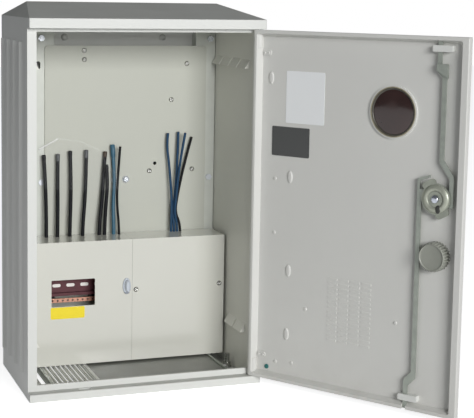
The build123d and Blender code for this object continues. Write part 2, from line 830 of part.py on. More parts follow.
# Inner covers: folded sheet, the left one with the window for the breakers
left_feet = [points[0][0] for size, points in cables.values() if points[0][0] < cover_joint]
right_feet = [points[0][0] for size, points in cables.values() if points[0][0] > cover_joint]
with BuildPart() as cover_left:
    with BuildSketch(Plane.YZ.offset(cover_left_end)):
        with Locations((cover_front, cover_low)):
            Rectangle(cover_back - cover_front, cover_height, align=Align.MIN)
        with Locations((cover_front + cover_thick, cover_low)):
            Rectangle(cover_back, cover_height - cover_thick, align=Align.MIN, mode=Mode.SUBTRACT)
    extrude(amount=cover_joint - cover_left_end)
    # end wall and the lip along the bottom
    with BuildSketch(Plane.YZ.offset(cover_left_end)):
        with Locations((cover_front, cover_low)):
            Rectangle(cover_back - cover_front, cover_height, align=Align.MIN)
    extrude(amount=cover_thick)
    with BuildSketch(Plane.XY.offset(cover_low)):
        with Locations((cover_left_end, cover_front)):
            Rectangle(cover_joint - cover_left_end, cover_lip, align=Align.MIN)
    extrude(amount=cover_thick)
    with BuildSketch(Plane.XZ.offset(-cover_front)):
        with Locations((window_x, window_z)):
            RectangleRounded(window_width, window_height, 1.5)
        with Locations(knob_place):
            Circle(knob_stem / 2 + pin_play)
    extrude(amount=-cover_thick, mode=Mode.SUBTRACT)
    with BuildSketch(Plane.XY.offset(cover_high - cover_thick)):
        for x in left_feet:
            with Locations((x, cable_row)):
                Circle(cable / 2 + 0.5)
    extrude(amount=cover_thick, mode=Mode.SUBTRACT)
save(cover_left.part, "cover_left")

with BuildPart() as cover_right:
    with BuildSketch(Plane.YZ.offset(cover_joint + touch)):
        with Locations((cover_front, cover_low)):
            Rectangle(cover_back - cover_front, cover_height, align=Align.MIN)
        with Locations((cover_front + cover_thick, cover_low)):
            Rectangle(cover_back, cover_height - cover_thick, align=Align.MIN, mode=Mode.SUBTRACT)
    extrude(amount=cover_right_end - cover_joint - touch)
    with BuildSketch(Plane.YZ.offset(cover_right_end - cover_thick)):
        with Locations((cover_front, cover_low)):
            Rectangle(cover_back - cover_front, cover_height, align=Align.MIN)
    extrude(amount=cover_thick)
    with BuildSketch(Plane.XY.offset(cover_low)):
        with Locations((cover_joint + touch, cover_front)):
            Rectangle(cover_right_end - cover_joint - touch, cover_lip, align=Align.MIN)
    extrude(amount=cover_thick)
    with BuildSketch(Plane.XZ.offset(-cover_front)):
        for x, z in cover_screw_places:
            with Locations((x, z)):
                Circle(screw / 2)
    extrude(amount=-cover_thick, mode=Mode.SUBTRACT)
    with BuildSketch(Plane.XY.offset(cover_high - cover_thick)):
        with Locations(((right_feet[0] + right_feet[-1]) / 2, cable_row)):
            SlotCenterToCenter(right_feet[-1] - right_feet[0], thin_cable + 1.0)
    extrude(amount=cover_thick, mode=Mode.SUBTRACT)
save(cover_right.part, "cover_right")

# Pillars behind the covers
pillar_places = (knob_place,) + cover_screw_places
with BuildPart() as cover_pillars:
    for x, z in pillar_places:
        seat = board_front if x < board_right else board_back
        with BuildSketch(Plane.XZ.offset(-seat)):
            with Locations((x, z)):
                RegularPolygon(pillar / 2, 6)
        extrude(amount=seat - cover_front - cover_thick)
    with BuildSketch(Plane.XZ.offset(-cover_front - cover_thick)):
        with Locations(knob_place):
            Circle(knob_stem / 2 + pin_play)
        for x, z in cover_screw_places:
            with Locations((x, z)):
                Circle(screw / 2)
    extrude(amount=-pillar_bore, mode=Mode.SUBTRACT)
save(cover_pillars.part, "cover_pillars")

with BuildPart() as cover_screws:
    with BuildSketch(Plane.XZ.offset(-cover_front)):
        for x, z in cover_screw_places:
            with Locations((x, z)):
                Circle(screw_head / 2)
    extrude(amount=head_height)
    chamfer(cover_screws.faces().sort_by(Axis.Y)[0:2].edges(), length=0.9)
    with BuildSketch(Plane.XZ.offset(-cover_front)):
        for x, z in cover_screw_places:
            with Locations((x, z)):
                Circle(screw / 2)
    extrude(amount=-cover_screw_reach)
save(cover_screws.part, "cover_screws")

# Quarter-turn knob with a hole for a sealing wire
with BuildPart() as sealing_knob:
    with BuildSketch(Plane.XZ.offset(-cover_front + knob_lift)):
        with Locations(knob_place):
            Circle(knob_width / 2 + 1.0)
    extrude(amount=knob_base)
    with BuildSketch(Plane.XZ.offset(-cover_front + knob_base)):
        with Locations(knob_place):
            SlotOverall(knob_height, knob_width, rotation=90)
    extrude(amount=knob_thick, taper=6)
    with BuildSketch(Plane.YZ.offset(-knob_width)):
        with Locations((cover_front - knob_base - knob_thick / 2, knob_place[1] + knob_height / 3)):
            Circle(wire_hole / 2)
    extrude(amount=2 * knob_width, mode=Mode.SUBTRACT)
    with BuildSketch(Plane.XZ.offset(-cover_front + knob_lift)):
        with Locations(knob_place):
            Circle(knob_stem / 2)
    extrude(amount=-cover_screw_reach)
save(sealing_knob.part, "sealing_knob")

# Top-hat rail for the breakers, on two feet
with BuildPart() as breaker_rail:
    low = rail_centre - din_height / 2
    high = rail_centre + din_height / 2
    lip_back = din_lip + din_sheet
    web_back = din_lip + din_depth
    web_front = web_back - din_sheet
    with BuildSketch(Plane.YZ.offset(din_left)):
        with BuildLine():
            Polyline((din_lip, low), (din_lip, low + din_fold + din_sheet),
                     (web_front, low + din_fold + din_sheet), (web_front, high - din_fold - din_sheet),
                     (din_lip, high - din_fold - din_sheet), (din_lip, high), (lip_back, high),
                     (lip_back, high - din_fold), (web_back, high - din_fold), (web_back, low + din_fold),
                     (lip_back, low + din_fold), (lip_back, low), close=True)
        make_face()
    extrude(amount=din_right - din_left)
    with BuildSketch(Plane.XZ.offset(-din_lip)):
        with Locations((din_slot_middle, rail_centre)):
            with GridLocations(din_slot_pitch, 1, 5, 1):
                SlotOverall(din_slot, din_slot_wide)
    extrude(amount=-din_depth - 1.0, mode=Mode.SUBTRACT)
save(breaker_rail.part, "breaker_rail")

with BuildPart() as rail_feet:
    with BuildSketch(Plane.XZ.offset(-board_front)):
        for x in rail_foot_x:
            with Locations((x, rail_centre)):
                Rectangle(rail_foot_width, rail_foot_height)
    extrude(amount=board_front - din_lip - din_depth)
save(rail_feet.part, "rail_feet")

# Bare copper bar under the rail, on two insulators
with BuildPart() as copper_bar:
    with BuildSketch(Plane.XZ.offset(-busbar_front)):
        with Locations(((busbar_left + busbar_right) / 2, busbar_low + busbar_height / 2)):
            Rectangle(busbar_right - busbar_left, busbar_height)
            with GridLocations(busbar_hole_pitch, 1, busbar_hole_count, 1):
                Circle(busbar_hole / 2, mode=Mode.SUBTRACT)
    extrude(amount=-busbar_thick)
save(copper_bar.part, "copper_bar")

with BuildPart() as bar_insulators:
    with BuildSketch(Plane.XZ.offset(-board_front)):
        for x in insulator_x:
            with Locations((x, busbar_low + busbar_height / 2)):
                Rectangle(insulator_width, busbar_height + 2.0)
    extrude(amount=board_front - busbar_front - busbar_thick)
save(bar_insulators.part, "bar_insulators")

# Terminal blocks that hold the feet of the cables
for low_x, high_x, feet, name in ((left_block_start, left_block_end, left_feet, "terminal_block_left"),
                                  (right_block_start, right_block_end, right_feet, "terminal_block_right")):
    with BuildPart() as block:
        with BuildSketch(Plane.YZ.offset(max(low_x, board_left))):
            with BuildLine():
                Polyline((block_front, block_top - block_high), (block_front, block_top - block_slope_high),
                         (block_front + block_slope_deep, block_top), (board_front, block_top),
                         (board_front, block_top - block_high), close=True)
            make_face()
        extrude(amount=high_x - max(low_x, board_left))
        if low_x < board_left:
            with BuildSketch(Plane.YZ.offset(low_x)):
                with Locations((block_front + block_slope_deep, block_top - block_high)):
                    Rectangle(board_front - block_front - block_slope_deep, block_high, align=Align.MIN)
            extrude(amount=board_left - low_x)
        with BuildSketch(Plane.XZ.offset(-block_front)):
            for x in feet:
                with Locations((x, block_top - block_high + block_slope_high)):
                    Circle(block_screw / 2)
        extrude(amount=-block_screw_deep, mode=Mode.SUBTRACT)
    save(block.part, name)

# Clear film hung over the ends of the left cables
with BuildPart() as cable_film:
    with BuildSketch(Plane.XY.offset(film_low)):
        with BuildLine():
            Spline(*film_run)
        trace(line_width=film_thick)
    extrude(amount=film_height)
    with BuildSketch(Plane.XZ.offset(-film_ahead)):
        with BuildLine():
            Polyline(*film_outline, close=True)
        make_face()
    extrude(amount=film_ahead - film_behind, mode=Mode.INTERSECT)
save(cable_film.part, "cable_film")

# Brass earthing stud with its nut, on the foot flange beside the plain floor panel
with BuildPart() as earth_stud:
    with BuildSketch(Plane.XY.offset(flange_thick)):
        with Locations(stud_place):
            Circle(stud / 2)
    extrude(amount=stud_height)
    with BuildSketch(Plane.XY.offset(flange_thick)):
        with Locations(stud_place):
            Circle(stud)
    extrude(amount=stud_washer)
    with BuildSketch(Plane.XY.offset(flange_thick + stud_washer)):
        with Locations(stud_place):
            RegularPolygon(0.9 * stud, 6)
    extrude(amount=0.8 * stud)
save(earth_stud.part, "earth_stud")

# Hinge pins, pressed into the plinth and into the roof cap
with BuildPart() as lower_hinge_pin:
    with BuildSketch(Plane.XY.offset(plinth_top - pin_root)):
        with Locations((hinge_x, hinge_y)):
            Circle(hinge_pin / 2)
    extrude(amount=pin_root + pin_reach)
    chamfer(lower_hinge_pin.faces().sort_by(Axis.Z)[-1].edges(), length=0.8)
save(lower_hinge_pin.part, "lower_hinge_pin")

with BuildPart() as upper_hinge_pin:
    with BuildSketch(Plane.XY.offset(body_top + pin_root)):
        with Locations((hinge_x, hinge_y)):
            Circle(hinge_pin / 2)
    extrude(amount=-pin_root - pin_reach)
    chamfer(upper_hinge_pin.faces().sort_by(Axis.Z)[0].edges(), length=0.8)
save(upper_hinge_pin.part, "upper_hinge_pin")

with BuildPart() as hinge_washer:
    with BuildSketch(Plane.XY.offset(plinth_top)):
        with Locations((hinge_x, hinge_y)):
            Circle(hinge_pin)
            Circle(hinge_pin / 2 + pin_play, mode=Mode.SUBTRACT)
    extrude(amount=washer)
save(hinge_washer.part, "hinge_washer")

# Door: shallow tray, rounded along its hinge edge
door_middle_z = (door_low + door_high) / 2
with BuildPart() as door_panel:
    with BuildSketch(outer_skin):
        with Locations((door_width / 2, door_middle_z)):
            Rectangle(door_width, door_height)
    extrude(amount=door_thick)
    uprights = door_panel.edges().filter_by(Axis.Z)
    uprights = uprights.sort_by_distance((door_corner.X, door_corner.Y, door_middle_z))
    fillet(uprights[0], radius=hinge_round_out)
    fillet(uprights[1], radius=hinge_round_in)
    fillet(uprights[2], radius=free_round_out)
    fillet(uprights[3], radius=free_round_in)
    with BuildSketch(rim_plane):
        with Locations(((door_width + rim - free_rim) / 2, door_middle_z)):
            RectangleRounded(door_width - rim - free_rim, door_height - 2 * end_rim, 4.0)
    extrude(amount=skin - door_thick, taper=rim_taper, mode=Mode.SUBTRACT)
    # corner bosses that turn on the hinge pins
    for low in (door_low, door_high - boss_height):
        with BuildSketch(Plane.XY.offset(low)):
            with Locations((hinge_x, hinge_y)):
                Circle(hinge_boss / 2)
        extrude(amount=boss_height)
    for low in (door_low, door_high - boss_height + 1.0):
        with BuildSketch(Plane.XY.offset(low)):
            with Locations((hinge_x, hinge_y)):
                Circle(hinge_pin / 2 + pin_play)
        extrude(amount=boss_height - 1.0, mode=Mode.SUBTRACT)
    # seat of the sight glass
    with BuildSketch(inner_skin):
        with Locations((glass_u, glass_z)):
            Circle(glass / 2 + glass_ring)
            Circle(glass / 2 + touch, mode=Mode.SUBTRACT)
    extrude(amount=glass_thick)
    with BuildSketch(outer_skin):
        with Locations((glass_u, glass_z)):
            Circle(glass / 2 - glass_ledge)
    extrude(amount=skin, mode=Mode.SUBTRACT)
    # moulded relief of short bars
    with BuildSketch(inner_skin):
        with Locations((relief_u, relief_z)):
            with GridLocations(relief_pitch_u, relief_pitch_z, relief_columns, relief_rows):
                Rectangle(relief_width, relief_height)
    extrude(amount=relief_rise)
    # holes for the lock, the plug and the rods
    with BuildSketch(outer_skin):
        with Locations((lock_u, spindle_z)):
            Circle(bearing / 2 + bearing_play)
        with Locations((lock_u, barrel_z)):
            Circle(barrel / 2 + bearing_play)
        with Locations((plug_u, plug_z)):
            Circle(plug_hole / 2 + bearing_play)
    extrude(amount=skin, mode=Mode.SUBTRACT)
    with BuildSketch(outer_skin.offset(rod_floor - rod_play)):
        with Locations((upper_tongue_u, door_high - rim)):
            Rectangle(rod_width + 2 * rod_play, 4 * rim)
        with Locations((lower_tongue_u, door_low + rim)):
            Rectangle(rod_width + 2 * rod_play, 4 * rim)
    extrude(amount=rod_thick + 2 * rod_play, mode=Mode.SUBTRACT)
    with BuildSketch(outer_skin.offset(rod_floor)):
        with Locations((lower_tongue_u, door_low + rim)):
            Rectangle(rod_width + 2 * rod_play, 4 * rim)
    extrude(amount=door_thick - rod_floor, mode=Mode.SUBTRACT)
save(door_panel.part, "door_panel")

# Smoked sight glass
with BuildPart() as sight_glass:
    with BuildSketch(inner_skin):
        with Locations((glass_u, glass_z)):
            Circle(glass / 2)
    extrude(amount=glass_thick)
save(sight_glass.part, "sight_glass")

# Bare label sheet and bare data plate
with BuildPart() as door_label:
    with BuildSketch(inner_skin):
        with Locations((paper_u, paper_z)):
            RectangleRounded(paper_width, paper_height, 2.0)
    extrude(amount=label_thick)
save(door_label.part, "door_label")

with BuildPart() as data_plate:
    with BuildSketch(inner_skin):
        with Locations((plate_u, plate_z)):
            RectangleRounded(plate_width, plate_height, 2.0)
    extrude(amount=plate_thick)
save(data_plate.part, "data_plate")

# Drain plug
with BuildPart() as drain_plug:
    with BuildSketch(outer_skin):
        with Locations((plug_u, plug_z)):
            Circle(plug_hole / 2)
    extrude(amount=skin)
    with BuildSketch(inner_skin):
        with Locations((plug_u, plug_z)):
            Circle(plug_head / 2)
    extrude(amount=plug_rise)
    fillet(drain_plug.faces().sort_by(inward)[-1].edges(), radius=0.8)
save(drain_plug.part, "drain_plug")

# Stiffening plates beside the hinge bosses, each with two rivets
for level, name in ((hinge_plate_z, "hinge_plate_lower"),
                    (door_high + door_low - hinge_plate_z, "hinge_plate_upper")):
    with BuildPart() as hinge_plate:
        with BuildSketch(inner_skin):
            with Locations((hinge_plate_u, level)):
                RectangleRounded(hinge_plate_width, hinge_plate_height, 3.0)
        extrude(amount=hinge_plate_thick)
        with BuildSketch(inner_skin.offset(hinge_plate_thick)):
            with Locations((hinge_plate_u, level)):
                with GridLocations(hinge_plate_width / 2, 1, 2, 1):
                    Circle(rivet_head / 2)
        extrude(amount=rivet_rise, taper=25)
    save(hinge_plate.part, name)

# Rod guides
for tongue, z, name in ((upper_tongue_u, upper_guide_z, "upper_rod_guide"),
                        (lower_tongue_u, lower_guide_z, "lower_rod_guide")):
    with BuildPart() as guide:
        with BuildSketch(inner_skin):
            with Locations((tongue + guide_shift, z)):
                RectangleRounded(guide_width, guide_height, 2.0)
        extrude(amount=guide_thick)
        with BuildSketch(outer_skin.offset(rod_floor - rod_play)):
            with Locations((tongue, z)):
                Rectangle(rod_width + 2 * rod_play, 2 * guide_height)
        extrude(amount=rod_thick + 2 * rod_play, mode=Mode.SUBTRACT)
    save(guide.part, name)

# Lock rods: flat bars with a jogged head, a tongue and a fork for the cam's pin
pin_shift = cam_pin_radius * sin(pi / 4)
fork_slot = cam_pin / 2 + pin_clear
with BuildPart() as upper_rod:
    level = spindle_z - pin_shift
    with BuildSketch(outer_skin.offset(rod_floor)):
        with BuildLine():
            Polyline((upper_tongue_u - rod_width / 2, upper_tip),
                     (upper_tongue_u + rod_width / 2, upper_tip),
                     (upper_tongue_u + rod_width / 2, head_high),
                     (upper_tongue_u - rod_width / 2 + head_width, head_high),
                     (upper_tongue_u - rod_width / 2 + head_width, head_low),
                     (upper_strip_u + rod_width / 2, head_low - bend_skew),
                     (upper_strip_u + rod_width / 2, side_bend_high),
                     (upper_side_u + rod_width / 2, side_bend_high - side_bend),
                     (upper_side_u + rod_width / 2, level - fork_half),
                     (lock_u + fork_reach, level - fork_half),
                     (lock_u + fork_reach, level + fork_half),
                     (upper_side_u - rod_width / 2, level + fork_half),
                     (upper_side_u - rod_width / 2, side_bend_high - side_bend - bend_skew),
                     (upper_strip_u - rod_width / 2, side_bend_high - bend_skew),
                     (upper_strip_u - rod_width / 2, head_low),
                     (upper_tongue_u - rod_width / 2, head_low + head_slope), close=True)
        make_face()
        with Locations((lock_u + cam_pin_radius - fork_round, level)):
            SlotOverall(2 * (fork_round + fork_slot), 2 * fork_slot, mode=Mode.SUBTRACT)
    extrude(amount=rod_thick)
    # thicker head with a sloped lower end
    with BuildSketch(outer_skin.offset(rod_floor + rod_thick)):
        with BuildLine():
            Polyline((upper_tongue_u - rod_width / 2, head_high),
                     (upper_tongue_u - rod_width / 2 + head_width, head_high),
                     (upper_tongue_u - rod_width / 2 + head_width, head_low),
                     (upper_tongue_u - rod_width / 2, head_low + head_plate_slope), close=True)
        make_face()
    extrude(amount=head_plate)
save(upper_rod.part, "upper_rod")

with BuildPart() as lower_rod:
    level = spindle_z + pin_shift
    with BuildSketch(outer_skin.offset(rod_floor)):
        with BuildLine():
            Polyline((lower_tongue_u + rod_width / 2, lower_tip),
                     (lower_tongue_u - rod_width / 2, lower_tip),
                     (lower_tongue_u - rod_width / 2, low_bend + low_lean),
                     (lower_strip_u - rod_width / 2, low_bend + low_lean + low_bend_rise),
                     (claw_start, claw_bend),
                     (claw_start + claw_reach, claw_bend + claw_lift),
                     (claw_start + claw_reach, claw_bend + claw_lift - claw_width),
                     (claw_start + claw_width, claw_bend - claw_width),
                     (claw_start + claw_width, level + fork_half),
                     (lock_u - fork_reach, level + fork_half),
                     (lock_u - fork_reach, level - fork_half),
                     (lower_strip_u + rod_width / 2, level - fork_half),
                     (lower_strip_u + rod_width / 2, low_bend - low_lean + low_bend_rise),
                     (lower_tongue_u + rod_width / 2, low_bend - low_lean), close=True)
        make_face()
        with Locations((lock_u - cam_pin_radius + fork_round, level)):
            SlotOverall(2 * (fork_round + fork_slot), 2 * fork_slot, mode=Mode.SUBTRACT)
    extrude(amount=rod_thick)
save(lower_rod.part, "lower_rod")

# Cam plate with two lobes and the two pins that drive the rods
with BuildPart() as cam_plate:
    with BuildSketch(outer_skin.offset(cam_floor)):
        with Locations((lock_u, spindle_z)):
            Circle(cam / 2)
            with PolarLocations(cam_lobe, 2, start_angle=cam_lobe_angle):
                SlotOverall(cam_lobe_length, cam_lobe_width, rotation=90)
            Rectangle(spindle, spindle, mode=Mode.SUBTRACT)
    extrude(amount=cam_thick)
    with BuildSketch(outer_skin.offset(cam_floor)):
        with Locations((lock_u, spindle_z)):
            with PolarLocations(cam_pin_radius, 2, start_angle=-45):
                Circle(cam_pin / 2)
    extrude(amount=rod_floor - cam_floor)
    # raised hub under the bolt
    with BuildSketch(outer_skin.offset(cam_floor + cam_thick)):
        with Locations((lock_u, spindle_z)):
            Circle(cam / 4)
            Rectangle(spindle, spindle, mode=Mode.SUBTRACT)
    extrude(amount=cam_hub)
save(cam_plate.part, "cam_plate")

hub_top = cam_floor + cam_thick + cam_hub
with BuildPart() as cam_bolt:
    with BuildSketch(outer_skin.offset(hub_top)):
        with Locations((lock_u, spindle_z)):
            RegularPolygon(bolt_head / 2, 6)
    extrude(amount=bolt_height)
    with BuildSketch(outer_skin.offset(hub_top)):
        with Locations((lock_u, spindle_z)):
            Circle(bolt_shank / 2)
    extrude(amount=-bolt_reach)
save(cam_bolt.part, "cam_bolt")

with BuildPart() as square_spindle:
    with BuildSketch(outer_skin.offset(-spindle_out)):
        with Locations((lock_u, spindle_z)):
            Rectangle(spindle, spindle)
    extrude(amount=spindle_out + hub_top)
    with BuildSketch(outer_skin.offset(hub_top)):
        with Locations((lock_u, spindle_z)):
            Circle(bolt_shank / 2)
    extrude(amount=-bolt_reach, mode=Mode.SUBTRACT)
save(square_spindle.part, "square_spindle")

# Escutcheon outside, with the round bearing of the spindle
with BuildPart() as escutcheon:
    with BuildSketch(outer_skin):
        with Locations((lock_u, (escutcheon_low + escutcheon_high) / 2)):
            SlotOverall(escutcheon_high - escutcheon_low, escutcheon_width, rotation=90)
    extrude(amount=-plate_out)
    with BuildSketch(outer_skin):
        with Locations((lock_u, spindle_z)):
            Circle(bearing / 2)
    extrude(amount=skin + bearing_rise)
    with BuildSketch(outer_skin.offset(-plate_out)):
        with Locations((lock_u, spindle_z)):
            Circle(spindle / sqrt(2) + bearing_play)
        with Locations((lock_u, barrel_z)):
            Circle(barrel / 2)
    extrude(amount=plate_out + skin + bearing_rise, mode=Mode.SUBTRACT)
save(escutcheon.part, "escutcheon")

# Lever handle with an eye over the lock
lever_under = plate_out + lever_lift
with BuildPart() as lever_handle:
    with BuildSketch(outer_skin.offset(-lever_under)):
        with Locations((lock_u, spindle_z)):
            Circle(lever_hub / 2)
        with Locations((lock_u - lever_arm, spindle_z)):
            Circle(lever_eye / 2)
        with Locations((lock_u - lever_arm / 2, spindle_z)):
            Rectangle(lever_arm, lever_width)
        with Locations((lock_u - lever_arm, spindle_z)):
            Circle(lever_hole / 2, mode=Mode.SUBTRACT)
    extrude(amount=-lever_thick)
    fillet(lever_handle.faces().sort_by(inward)[0].outer_wire().edges(), radius=lever_round)
    with BuildSketch(outer_skin.offset(-plate_out - touch)):
        with Locations((lock_u, spindle_z)):
            Circle(lever_hub / 2 - lever_neck)
    extrude(amount=-lever_lift)
    with BuildSketch(outer_skin.offset(-plate_out)):
        with Locations((lock_u, spindle_z)):
            Rectangle(spindle, spindle)
    extrude(amount=plate_out - spindle_out, mode=Mode.SUBTRACT)
save(lever_handle.part, "lever_handle")

# Lock barrel, key plug and the ribbed cap that clamps the barrel from inside
with BuildPart() as lock_barrel:
    with BuildSketch(outer_skin.offset(-plate_out)):
        with Locations((lock_u, barrel_z)):
            Circle(barrel / 2)
    extrude(amount=plate_out + barrel_end)
    with BuildSketch(outer_skin.offset(-plate_out)):
        with Locations((lock_u, barrel_z)):
            Circle(barrel_head / 2)
    extrude(amount=-barrel_head_thick)
    with BuildSketch(outer_skin.offset(-plate_out - barrel_head_thick)):
        with Locations((lock_u, barrel_z)):
            Circle(key_plug / 2 + pin_play)
    extrude(amount=plate_out + barrel_head_thick + barrel_end - barrel_wall, mode=Mode.SUBTRACT)
save(lock_barrel.part, "lock_barrel")

with BuildPart() as key_plug_part:
    with BuildSketch(outer_skin.offset(-plate_out - barrel_head_thick)):
        with Locations((lock_u, barrel_z)):
            Circle(key_plug / 2)
    extrude(amount=plate_out + barrel_head_thick + barrel_end - barrel_wall - touch)
    with BuildSketch(outer_skin.offset(-plate_out - barrel_head_thick)):
        with Locations((lock_u, barrel_z)):
            Rectangle(key_slot, key_plug - 4.0)
    extrude(amount=key_slot_deep, mode=Mode.SUBTRACT)
save(key_plug_part.part, "key_plug")

with BuildPart() as ribbed_cap:
    with BuildSketch(inner_skin):
        with Locations((lock_u, barrel_z)):
            Circle(cap / 2 - cap_rib_deep / 3)
    extrude(amount=cap_high, taper=2)
    with BuildSketch(inner_skin):
        with Locations((lock_u, barrel_z)):
            with PolarLocations((cap - cap_rib_deep) / 2, cap_ribs):
                Rectangle(cap_rib_deep, cap_rib)
    extrude(amount=cap_high - cap_rib_deep)
    with BuildSketch(inner_skin):
        with Locations((lock_u, barrel_z)):
            Circle(barrel / 2 + bearing_play)
    extrude(amount=cap_high - cap_roof, mode=Mode.SUBTRACT)
save(ribbed_cap.part, "ribbed_cap")
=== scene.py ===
# %% [markdown]
# # Electricity meter cabinet with its door open
#
# The real cabinet is pressed from glass-fibre polyester: a fluted body, a hipped roof and one wide
# door with a rod lock. Inside stand a mounting board for the meter, two folded covers over the
# terminals and a dozen stiff cable ends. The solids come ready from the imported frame. This script
# gives them their surfaces and adds the soft and the very small pieces.

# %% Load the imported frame
import json
from math import cos, pi, radians, sin

import bmesh
import bpy
from mathutils import Matrix, Vector


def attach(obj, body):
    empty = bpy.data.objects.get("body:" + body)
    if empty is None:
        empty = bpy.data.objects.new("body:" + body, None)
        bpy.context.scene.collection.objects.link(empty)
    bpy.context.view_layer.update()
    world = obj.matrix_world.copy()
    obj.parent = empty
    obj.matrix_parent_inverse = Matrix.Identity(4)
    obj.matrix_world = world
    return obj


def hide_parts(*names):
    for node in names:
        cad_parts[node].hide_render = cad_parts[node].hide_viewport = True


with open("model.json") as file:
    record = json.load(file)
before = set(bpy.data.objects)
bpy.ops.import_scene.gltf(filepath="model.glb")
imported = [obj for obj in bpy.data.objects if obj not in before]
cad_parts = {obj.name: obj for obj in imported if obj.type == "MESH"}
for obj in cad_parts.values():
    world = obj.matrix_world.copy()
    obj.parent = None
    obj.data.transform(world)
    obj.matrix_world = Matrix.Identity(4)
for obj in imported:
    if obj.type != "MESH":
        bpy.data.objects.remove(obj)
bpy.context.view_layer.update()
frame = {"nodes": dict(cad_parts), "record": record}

nodes = frame["nodes"]


def new_object(name, data):
    """An object at the origin, in the scene."""
    made = bpy.data.objects.new(name, data)
    bpy.context.scene.collection.objects.link(made)
    return made


# %% [markdown]
# ## The camera
#
# The lens, the place and the tilt were worked out from the straight edges of the door, the body
# and the roof. The photograph is a crop of a wider picture, so its optical axis isn't in the
# middle: the small shift puts it back.

# %% Camera
picture_width, picture_height = 474, 418
focal_pixels = 1322.32
axis_pixel = (215.11, 160.99)
camera_place = (-0.62086, -2.17097, 0.66774)
yaw, pitch, roll = radians(19.64), radians(7.33), radians(0.91)

forward = Vector((sin(yaw) * cos(pitch), cos(yaw) * cos(pitch), -sin(pitch)))
level_right = Vector((cos(yaw), -sin(yaw), 0.0))
level_up = level_right.cross(forward)
camera_right = cos(roll) * level_right + sin(roll) * level_up
camera_up = -sin(roll) * level_right + cos(roll) * level_up

camera = new_object("camera", bpy.data.cameras.new("camera"))
turned = Matrix((camera_right, camera_up, -forward)).transposed().to_4x4()
camera.matrix_world = Matrix.Translation(camera_place) @ turned
camera.data.sensor_width = 36.0
camera.data.lens = focal_pixels / picture_width * camera.data.sensor_width
camera.data.shift_x = (picture_width / 2 - axis_pixel[0]) / picture_width
camera.data.shift_y = (axis_pixel[1] - picture_height / 2) / picture_width
camera.data.clip_end = 50.0
bpy.context.scene.camera = camera
bpy.context.scene.view_settings.view_transform = "Standard"
print("lens", round(camera.data.lens, 2),
      "shift", round(camera.data.shift_x, 4), round(camera.data.shift_y, 4))

# %% [markdown]
# ## Cable routes
#
# The cables are stiff stranded copper in a plastic sheath. Each stands in its terminal, leaves the
# cover through a hole and leans a little, with its far end bare for the meter. A NURBS curve gives
# such a line from few points: the points are the ones that the solids use, here in metres.

# %% Points of the cables
terminal_top, straight_top = 0.216, 0.248
cable_row = 0.075
thick_cable, thin_cable = 0.0066, 0.0046
thick_routes = {
    "cable_1": (-0.131, (-0.131, 0.077, 0.292), (-0.132, 0.079, 0.336), (-0.134, 0.082, 0.379)),
    "cable_2": (-0.111, (-0.110, 0.077, 0.291), (-0.110, 0.079, 0.335), (-0.109, 0.082, 0.380)),
    "cable_3": (-0.089, (-0.087, 0.077, 0.290), (-0.086, 0.079, 0.334), (-0.087, 0.082, 0.385)),
    "cable_4": (-0.066, (-0.062, 0.077, 0.289), (-0.059, 0.079, 0.339), (-0.058, 0.082, 0.386)),
    "cable_5": (-0.036, (-0.031, 0.078, 0.288), (-0.027, 0.081, 0.336), (-0.023, 0.084, 0.382)),
    "cable_6": (-0.026, (-0.024, 0.074, 0.288), (-0.021, 0.073, 0.330), (-0.024, 0.072, 0.360)),
    "cable_7": (-0.009, (-0.010, 0.078, 0.287), (-0.006, 0.081, 0.335), (-0.010, 0.084, 0.394)),
}
thin_routes = {
    "cable_8": (0.001, (-0.004, 0.074, 0.290), (-0.003, 0.073, 0.336), (0.001, 0.072, 0.392)),
    "cable_9": (0.098, (0.0985, 0.0745, 0.268), (0.0985, 0.0755, 0.300), (0.0945, 0.0790, 0.357),
                (0.0900, 0.0810, 0.391), (0.0925, 0.0820, 0.413)),
    "cable_10": (0.104, (0.1010, 0.0785, 0.268), (0.1055, 0.0775, 0.300), (0.1100, 0.0790, 0.360),
                 (0.1120, 0.0820, 0.415)),
    "cable_11": (0.110, (0.1035, 0.0740, 0.268), (0.1065, 0.0725, 0.300), (0.1115, 0.0720, 0.357),
                 (0.1220, 0.0720, 0.414)),
    "cable_12": (0.116, (0.1065, 0.0790, 0.268), (0.1110, 0.0800, 0.300), (0.1235, 0.0820, 0.355),
                 (0.1380, 0.0840, 0.405)),
}
print("routes", len(thick_routes), "thick and", len(thin_routes), "thin")

# %% [markdown]
# Each curve gets its thickness from a round bevel. A copy without thickness gives the length along
# the line, and the direction at its end for the tips.

# %% Cables as NURBS curves
def cable_points(route):
    """Every point of one cable, from its terminal up."""
    foot_x, *free = route
    return [(foot_x, cable_row, terminal_top), (foot_x, cable_row, straight_top), *free]


def cable_curve(name, points, diameter):
    """A round cable along a smooth line through its route."""
    line = bpy.data.curves.new(name, "CURVE")
    line.dimensions = "3D"
    spline = line.splines.new("NURBS")
    spline.points.add(len(points) - 1)
    for point, place in zip(spline.points, points):
        point.co = (*place, 1.0)
    spline.order_u = 3
    spline.use_endpoint_u = True
    spline.resolution_u = 8
    line.bevel_depth = diameter / 2
    line.bevel_resolution = 4
    line.use_fill_caps = True
    return new_object(name, line)


def centre_line(curve_object):
    """Points along the smooth line itself, read from a copy that has no thickness."""
    thin = curve_object.data.copy()
    thin.bevel_depth = 0.0
    holder = bpy.data.objects.new("line", thin)
    mesh = bpy.data.meshes.new_from_object(holder)
    places = [vertex.co.copy() for vertex in mesh.vertices]
    bpy.data.objects.remove(holder)
    bpy.data.meshes.remove(mesh)
    bpy.data.curves.remove(thin)
    return places


